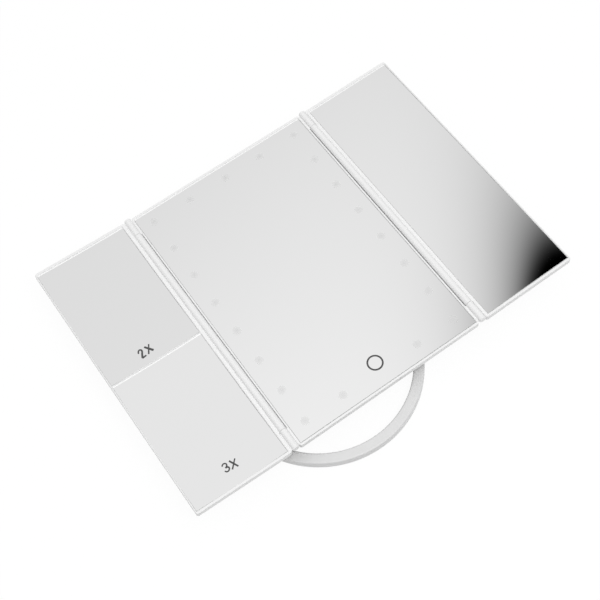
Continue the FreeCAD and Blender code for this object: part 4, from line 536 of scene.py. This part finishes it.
# %% Screen printed ink
ink, tree, surface, place = start_finish("screen_printed_ink", "#4a4a4a", 0.5, IOR=1.5)
cover = add_node(tree, "ShaderNodeTexNoise",
                 {"Vector": place.outputs["Object"], "Scale": grain(0.6), "Detail": 3.0})
colour = add_node(tree, "ShaderNodeMix", {
    "Factor": cover, "A": linear("#3c3c3c"), "B": linear("#575757")}, data_type="RGBA")
feed(tree, surface, {"Base Color": colour})
print(ink.name, "ready")

# %% Touch ring over its electrode
touch_low, touch_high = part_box("touch_electrode")
touch = (touch_low + touch_high) / 2
RING_INNER, RING_OUTER, INK_DEPTH = 5.6 * MM, 7.1 * MM, 0.02 * MM
mark = bmesh.new()
turned_profile(mark, [(RING_INNER, 0), (RING_INNER, INK_DEPTH), (RING_OUTER, INK_DEPTH),
                      (RING_OUTER, 0), (RING_INNER, 0)],
               Vector((touch.x, touch.y, pane_high.z + ON_GLASS)))
bmesh.ops.remove_doubles(mark, verts=mark.verts, dist=MERGE)
finish_piece("touch_ring_mark", mark, ink, "middle")

# %% [markdown]
# ## Marks for the magnification
# The hollow panes are marked 2X and 3X, printed small in a light plain face. Each mark
# is a set of pen strokes. A stroke is a ribbon of a given width round a line of points,
# and every corner is let down on to the hollow glass by a ray, so that the ink follows
# its curve. The upper mark is a little bolder than the lower one.

# %% From flat millimetres to the hollow glass
wing_out = Vector((-math.cos(left_fold), 0, math.sin(left_fold)))
wing_normal = Vector((math.sin(left_fold), 0, math.cos(left_fold)))
RAY_START = 5 * MM


def on_wing(x, y, pane):
    """A point of the flat wing (mm, x from the hinge line) let down on to its pane."""
    above = left_hinge + -x * wing_out * MM + RAY_START * wing_normal
    above.y = panel.y + y * MM
    into = nodes[pane].matrix_world.inverted()
    hit, where, *_ = nodes[pane].ray_cast(into @ above, into.to_3x3() @ -wing_normal)
    if not hit:
        raise RuntimeError(f"no glass under {x}, {y}")
    return nodes[pane].matrix_world @ where + ON_GLASS * wing_normal


# %% A stroke and its rounded line
STROKE_STEP = 0.35  # mm between the corners of a ribbon


def pen_stroke(mesh, points, width, centre, pane):
    """A ribbon round the points, in mm about the centre, from one width to another."""
    line = [Vector(point) for point in points]
    fine = []
    for index in range(len(line) - 1):
        pieces = max(1, round((line[index + 1] - line[index]).length / STROKE_STEP))
        fine += [line[index].lerp(line[index + 1], part / pieces) for part in range(pieces)]
    fine.append(line[-1])
    sides = []
    for index, point in enumerate(fine):
        ahead = fine[min(index + 1, len(fine) - 1)] - fine[max(index - 1, 0)]
        share = index / (len(fine) - 1)
        half = (width[0] * (1 - share) + width[1] * share) / 2
        across = Vector((-ahead.y, ahead.x)).normalized() * half
        sides.append([mesh.verts.new(on_wing(*(Vector(centre) + point + side), pane))
                      for side in (across, -across)])
    for one, two in zip(sides, sides[1:]):
        mesh.faces.new((one[0], one[1], two[1], two[0]))


def smooth_line(points, rounds=2):
    """Cuts the corners of a line, as a pen does, and keeps its ends."""
    for _ in range(rounds):
        line = [Vector(point) for point in points]
        points = [line[0]]
        for one, two in zip(line, line[1:]):
            points += [one.lerp(two, 0.25), one.lerp(two, 0.75)]
        points.append(line[-1])
    return points


# %% Both marks
TWO = [(-6.14, 1.43), (-5.6, 2.9), (-4.6, 4.0), (-3.4, 4.2), (-2.3, 3.2), (-2.5, 1.6),
       (-3.57, 0.0), (-4.71, -2.29), (-5.43, -3.9)]
TWO_FOOT = [(-5.6, -3.9), (-1.43, -3.43)]
THREE_TOP = [(-5.66, 2.86), (-4.9, 4.0), (-3.3, 4.5), (-1.7, 3.5), (-1.9, 1.9),
             (-2.86, 0.7), (-4.14, 0.43)]
THREE_LOW = [(-4.14, 0.43), (-2.5, 0.5), (-1.4, -0.7), (-2.0, -2.2), (-3.3, -3.1),
             (-5.0, -3.1), (-6.0, -1.43)]
MARKS = [
    # name, pane, centre in mm, [(points, widths in mm at both ends, whether it is rounded)]
    ("mark_2x", "mirror_2x", (-53.13, 12.85), [
        (TWO, (1.3, 1.8), True), (TWO_FOOT, (1.7, 1.4), False),
        ([(1.0, 4.29), (6.0, -2.86)], (1.8, 2.1), False),
        ([(5.57, 4.57), (0.71, -3.71)], (1.2, 1.4), False)]),
    ("mark_3x", "mirror_3x", (-50.72, -112.72), [
        (THREE_TOP, (1.1, 1.4), True), (THREE_LOW, (1.5, 1.1), True),
        ([(1.43, 3.86), (5.14, -4.29)], (1.6, 1.5), False),
        ([(6.43, 3.0), (-0.29, -3.86)], (1.1, 1.3), False)]),
]
for name, pane, centre, strokes in MARKS:
    glyph = bmesh.new()
    for points, width, rounded in strokes:
        pen_stroke(glyph, smooth_line(points) if rounded else points, width, centre, pane)
    finish_piece(name, glyph, ink, "left_wing")

# %% [markdown]
# ## Cross-head screws
# Six screws hold the cover. CAD keeps them as plain studs, so a real one takes their
# place: a low domed head with a cross recess and a coarse thread that cuts its own way
# into plastic. The recess is cut with a boolean, the quickest clean way to sink a shape
# into a turned one. Each screw stops at an angle of its own, as driven ones do.

# %% Profile of a screw and outline of its recess
HEAD_RADIUS, HEAD_DEPTH, SHANK_RADIUS, SHANK_LENGTH = 2.3, 1.6, 1.25, 8.0
THREAD_PITCH, THREAD_DEPTH = 1.0, 0.3
head_profile = [(0, 0), (1.2, 0.03), (1.8, 0.22), (HEAD_RADIUS - 0.1, 0.6),
                (HEAD_RADIUS, 0.8), (HEAD_RADIUS, HEAD_DEPTH), (SHANK_RADIUS, HEAD_DEPTH)]
thread = []
for turn in range(int(SHANK_LENGTH / THREAD_PITCH) - 1):
    start = HEAD_DEPTH + turn * THREAD_PITCH
    thread += [(SHANK_RADIUS - THREAD_DEPTH, start + 0.2 * THREAD_PITCH),
               (SHANK_RADIUS - THREAD_DEPTH, start + 0.7 * THREAD_PITCH),
               (SHANK_RADIUS, start + THREAD_PITCH)]
tip = [(SHANK_RADIUS - THREAD_DEPTH, HEAD_DEPTH + SHANK_LENGTH - 0.6),
       (0, HEAD_DEPTH + SHANK_LENGTH)]
ARM, ARM_HALF, RECESS, RECESS_FLOOR_SHARE, BIT_START = 1.35, 0.28, 1.0, 0.62, -0.1
cross = [(ARM, -ARM_HALF), (ARM, ARM_HALF), (ARM_HALF, ARM_HALF), (ARM_HALF, ARM),
         (-ARM_HALF, ARM), (-ARM_HALF, ARM_HALF), (-ARM, ARM_HALF), (-ARM, -ARM_HALF),
         (-ARM_HALF, -ARM_HALF), (-ARM_HALF, -ARM), (ARM_HALF, -ARM),
         (ARM_HALF, -ARM_HALF)]
print("screw:", HEAD_DEPTH + SHANK_LENGTH, "mm long, recess", RECESS, "mm deep")


# %% One screw
def scratch_object(mesh):
    """A bmesh as an object for a boolean."""
    data = bpy.data.meshes.new("scratch")
    bmesh.ops.recalc_face_normals(mesh, faces=mesh.faces)
    mesh.to_mesh(data)
    mesh.free()
    piece = bpy.data.objects.new("scratch", data)
    bpy.context.scene.collection.objects.link(piece)
    return piece


stud = bmesh.new()
turned_profile(stud, [(radius * MM, height * MM)
                      for radius, height in head_profile + thread + tip],
               Vector(), SMALL_TURNS)
stud = scratch_object(stud)
bit = bmesh.new()
mouth, floor = [[bit.verts.new(Vector((x * share * MM, y * share * MM, z * MM)))
                 for x, y in cross]
                for share, z in ((1.0, BIT_START), (RECESS_FLOOR_SHARE, RECESS))]
bit.faces.new(mouth)
bit.faces.new(floor)
for index in range(len(cross)):
    after = (index + 1) % len(cross)
    bit.faces.new((mouth[index], mouth[after], floor[after], floor[index]))
bit = scratch_object(bit)
cut = stud.modifiers.new("recess", "BOOLEAN")
cut.object = bit
cut.operation = "DIFFERENCE"
cut.solver = "EXACT"
one_screw = stud.evaluated_get(bpy.context.evaluated_depsgraph_get()).to_mesh()
print("one screw has", len(one_screw.polygons), "faces")

# %% Six screws
FIRST_TURN, NEXT_TURN = 0.7, 1.3  # radians
screw_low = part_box("cover_screws")[0]
screws = bmesh.new()
for index, middle in enumerate(island_middles("cover_screws")):
    one = bmesh.new()
    one.from_mesh(one_screw)
    one.transform(Matrix.Translation((middle.x, middle.y, screw_low.z))
                  @ Matrix.Rotation(FIRST_TURN + NEXT_TURN * index, 4, "Z"))
    copy = bpy.data.meshes.new("copy")
    one.to_mesh(copy)
    one.free()
    screws.from_mesh(copy)
    bpy.data.meshes.remove(copy)
for spare in (stud, bit):
    bpy.data.objects.remove(spare)
cross_head = finish_piece("cross_head_screws", screws, plated["zinc_plated_steel"],
                          "middle")
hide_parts("cover_screws")

# %% [markdown]
# ## Marks moulded in the back
# The cell door has an arrow that shows which way it slides, and the switch knob has ribs
# for a fingernail. Both stand 0.3 mm proud, so they are real shapes with sides, not bump.
# Each is an outline pushed out, one outline for the arrow and one per rib.

# %% An outline pushed out
def raised_outline(mesh, corners, push):
    """A closed plate from an outline of world points, pushed along a vector."""
    base = [mesh.verts.new(corner) for corner in corners]
    top = [mesh.verts.new(corner + push) for corner in corners]
    mesh.faces.new(base)
    mesh.faces.new(top)
    for index in range(len(corners)):
        after = (index + 1) % len(corners)
        mesh.faces.new((base[index], base[after], top[after], top[index]))


# %% Arrow on the door
door_low, door_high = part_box("battery_door")
door = (door_low + door_high) / 2
ARROW = [(-3.6, 0.0), (0.0, -4.2), (3.6, 0.0), (1.3, 0.0), (1.3, 4.6), (-1.3, 4.6),
         (-1.3, 0.0)]
ARROW_ROOT, PROUD = 24, 0.3 * MM
arrow = bmesh.new()
raised_outline(arrow, [
    Vector((door.x + x * MM, door_low.y + (ARROW_ROOT + y) * MM, door_low.z))
    for x, y in ARROW], Vector((0, 0, -PROUD)))
finish_piece("door_arrow", arrow, white_plastic["spark_eroded_white_abs"], "door")

# %% Ribs on the knob
knob_low, knob_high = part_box("switch_knob")
RIB_COUNT, RIB_WIDTH, RIB_INSET = 3, 0.35 * MM, 0.3 * MM
ribs = bmesh.new()
for rib in range(RIB_COUNT):
    y = knob_low.y + (knob_high.y - knob_low.y) * (rib + 1) / (RIB_COUNT + 1)
    low, high = knob_low.z + RIB_INSET, knob_high.z - RIB_INSET
    raised_outline(ribs, [Vector((knob_high.x, y + side * RIB_WIDTH / 2, z))
                          for side, z in ((-1, low), (1, low), (1, high), (-1, high))],
                   Vector((PROUD, 0, 0)))
finish_piece("knob_ribs", ribs, small_plastic["moulded_grey_abs"], "knob")

# %% [markdown]
# ## Floor
# The mirror lies on a white table. The camera sees that table as plain white with only
# a trace of the object's shadow, so its colour is mostly its own light and a small part
# of it is lit paint. For light that bounces on to the object the table is lit paint and
# nothing else, so that the object gets no more light than a real table would send it. The
# sheet's own glow therefore lights nothing, and it is left out of the renderer's list of
# lamps, so that the real lamps come out with less grain. From below the sheet is clear,
# so that the back can be looked at too.

# %% Table
SHADOW_SHARE, OWN_LIGHT = 0.10, 1.04
table_paint, tree, surface, _ = start_finish("white_table", "#dadada", 0.6)
own_light = add_node(tree, "ShaderNodeEmission", {"Color": (1, 1, 1, 1),
                                                  "Strength": OWN_LIGHT})
seen = add_node(tree, "ShaderNodeMixShader", {"Fac": SHADOW_SHARE})
feed(tree, seen, {1: own_light, 2: surface})
ray = add_node(tree, "ShaderNodeLightPath")
camera_or_gloss = add_node(tree, "ShaderNodeMath", {
    0: ray.outputs["Is Camera Ray"], 1: ray.outputs["Is Glossy Ray"]}, operation="MAXIMUM")
seen_ray = add_node(tree, "ShaderNodeMath",
                    {0: camera_or_gloss, 1: ray.outputs["Is Transmission Ray"]},
                    operation="MAXIMUM")
either = add_node(tree, "ShaderNodeMixShader", {"Fac": seen_ray})
feed(tree, either, {1: surface, 2: seen})
underside = add_node(tree, "ShaderNodeNewGeometry").outputs["Backfacing"]
one_way = add_node(tree, "ShaderNodeMixShader", {"Fac": underside})
feed(tree, one_way, {1: either, 2: add_node(tree, "ShaderNodeBsdfTransparent")})
feed(tree, tree.nodes["Material Output"], {"Surface": one_way})
table_paint.cycles.emission_sampling = "NONE"
print("table paint ready")

# %% [markdown]
# ## What the panes reflect
# A mirror shows its surroundings, so they are designed. A white cloth hangs one metre
# above the table and dims a little towards the back. A long black card is pinned under its
# right side, so that one corner of the right pane goes dark and the glass reads as glass.
# The card is an ellipse with a soft rim: the level climbs with a power of the distance,
# and a smooth maximum rounds off its black. The cloth thins out towards its own rim, so
# that no hard edge shows in the panes. Only gloss sees the cloth, so it takes no light
# from anything.

# %% Cloth and card
CLOTH_UP, CLOTH_HALF, CLOTH_SOLID = 1.0, 1.5, 1.1
CLOTH_FALL, CLOTH_LEVEL = (0.052, -0.253, 0.0), 0.9815
CARD_PLACE, CARD_TURN, CARD_SIZE = (0.3011, -0.3122, 0.0), 1.0656, (0.6375, 0.1338, 1.0)
CARD_EDGE, CARD_SOFT = -3.53, 0.296
cloth = bpy.data.materials.new("lit_cloth")
cloth.use_nodes = True
tree = cloth.node_tree
tree.nodes.remove(tree.nodes["Principled BSDF"])
spot = add_node(tree, "ShaderNodeTexCoord").outputs["Object"]
fall = add_node(tree, "ShaderNodeVectorMath", {0: spot, 1: CLOTH_FALL},
                operation="DOT_PRODUCT").outputs["Value"]
dimmed = add_node(tree, "ShaderNodeMath", {0: fall, 1: CLOTH_LEVEL}, operation="ADD",
                  use_clamp=True)
on_card = add_node(tree, "ShaderNodeMapping", {
    "Vector": spot, "Location": CARD_PLACE, "Rotation": (0, 0, CARD_TURN),
    "Scale": CARD_SIZE}, vector_type="TEXTURE")
reach = add_node(tree, "ShaderNodeVectorMath", {0: on_card}, operation="LENGTH")
steep = add_node(tree, "ShaderNodeMath", {0: reach.outputs["Value"], 1: CARD_EDGE},
                 operation="POWER")
rise = add_node(tree, "ShaderNodeMath", {0: 1.0, 1: steep}, operation="SUBTRACT")
card = add_node(tree, "ShaderNodeMath", {0: rise, 1: 0.0, 2: CARD_SOFT},
                operation="SMOOTH_MAX")
lit = add_node(tree, "ShaderNodeMath", {0: dimmed, 1: card}, operation="MULTIPLY")
glow = add_node(tree, "ShaderNodeEmission", {"Color": (1, 1, 1, 1), "Strength": lit})
from_middle = add_node(tree, "ShaderNodeVectorMath", {0: spot}, operation="LENGTH")
solid = add_node(tree, "ShaderNodeMapRange", {
    "Value": from_middle.outputs["Value"], "From Min": CLOTH_HALF, "From Max": CLOTH_SOLID},
    interpolation_type="SMOOTHSTEP")
softened = add_node(tree, "ShaderNodeMixShader", {"Fac": solid})
feed(tree, softened, {1: add_node(tree, "ShaderNodeBsdfTransparent"), 2: glow})
feed(tree, tree.nodes["Material Output"], {"Surface": softened})
cloth.cycles.emission_sampling = "NONE"
print("cloth ready, solid up to", CLOTH_SOLID, "m from its middle")

# %% Two sheets of the studio
TABLE_HALF, TABLE_GAP = 4.0, 0.2 * MM


def flat_sheet(name, half, height, material):
    """A square sheet of the studio at a height above the floor."""
    data = bpy.data.meshes.new(name)
    data.from_pydata([(-half, -half, 0), (half, -half, 0), (half, half, 0),
                      (-half, half, 0)], [], [(0, 1, 2, 3)])
    data.materials.append(material)
    sheet = bpy.data.objects.new(name, data)
    sheet.location = (panel.x, panel.y, height)
    bpy.context.scene.collection.objects.link(sheet)
    print(name, "at", round(height, 4), "m")
    return sheet


overhead = flat_sheet("cloth", CLOTH_HALF, panel.z + CLOTH_UP, cloth)
overhead.visible_camera = False
overhead.visible_diffuse = False
overhead.visible_transmission = False
overhead.visible_shadow = False
flat_sheet("table", TABLE_HALF, -TABLE_GAP, table_paint)

# %% [markdown]
# ## Room
# Round the cloth the room is plain: gloss sees it darker towards the front and lighter
# at the back, matt surfaces see an even light that comes mostly from above, and the
# camera sees white.

# %% World
world = bpy.data.worlds.new("studio")
world.use_nodes = True
bpy.context.scene.world = world
tree = world.node_tree
direction = add_node(tree, "ShaderNodeTexCoord").outputs["Generated"]
ROOM_FALL, ROOM_LEVEL = (-0.10, 0.28, 0.0), 0.62
side = add_node(tree, "ShaderNodeVectorMath", {0: direction, 1: ROOM_FALL},
                operation="DOT_PRODUCT").outputs["Value"]
room = add_node(tree, "ShaderNodeMath", {0: side, 1: ROOM_LEVEL}, operation="ADD",
                use_clamp=True)
FROM_THE_SIDE, MORE_FROM_ABOVE = 0.10, 0.84
up = add_node(tree, "ShaderNodeSeparateXYZ", {"Vector": direction}).outputs["Z"]
ceiling = add_node(tree, "ShaderNodeMapRange", {
    "Value": up, "To Min": FROM_THE_SIDE, "To Max": FROM_THE_SIDE + MORE_FROM_ABOVE})
ray = add_node(tree, "ShaderNodeLightPath")
gloss_or_not = add_node(tree, "ShaderNodeMix", {
    "Factor": ray.outputs["Is Glossy Ray"], "A": ceiling, "B": room}, data_type="FLOAT")
seen_ray = add_node(tree, "ShaderNodeMath", {0: ray.outputs["Is Camera Ray"],
                                             1: ray.outputs["Is Transmission Ray"]},
                    operation="MAXIMUM")
level = add_node(tree, "ShaderNodeMix", {"Factor": seen_ray, "A": gloss_or_not, "B": 1.0},
                 data_type="FLOAT")
feed(tree, tree.nodes["Background"], {"Color": (1, 1, 1, 1), "Strength": level})

# %% [markdown]
# ## Lamps
# Two soft boxes model the edges. The key stands high in front, a little to the right, so
# that a slope that faces the front is bright and one that faces back or left is dark. The
# fill stands at the back and keeps the dark slopes from going flat.

# %% Key and fill
LAMPS = [
    # name, place in metres from the panel, side in metres, watts
    ("key", (0.22, -0.85, 2.0), 1.2, 15.0),
    ("fill", (-1.0, 1.2, 1.6), 1.2, 2.0),
]
for name, place, side, watts in LAMPS:
    lamp_data = bpy.data.lights.new(name, "AREA")
    lamp_data.shape = "SQUARE"
    lamp_data.size = side
    lamp_data.energy = watts
    lamp = bpy.data.objects.new(name, lamp_data)
    lamp.location = panel + Vector(place)
    lamp.rotation_euler = Vector(place).to_track_quat("Z", "Y").to_euler()
    bpy.context.scene.collection.objects.link(lamp)
    print(name, watts, "W")

# %% [markdown]
# ## Colour management
# The Standard view keeps a colour as it is written.

# %% View
bpy.context.scene.view_settings.view_transform = "Standard"
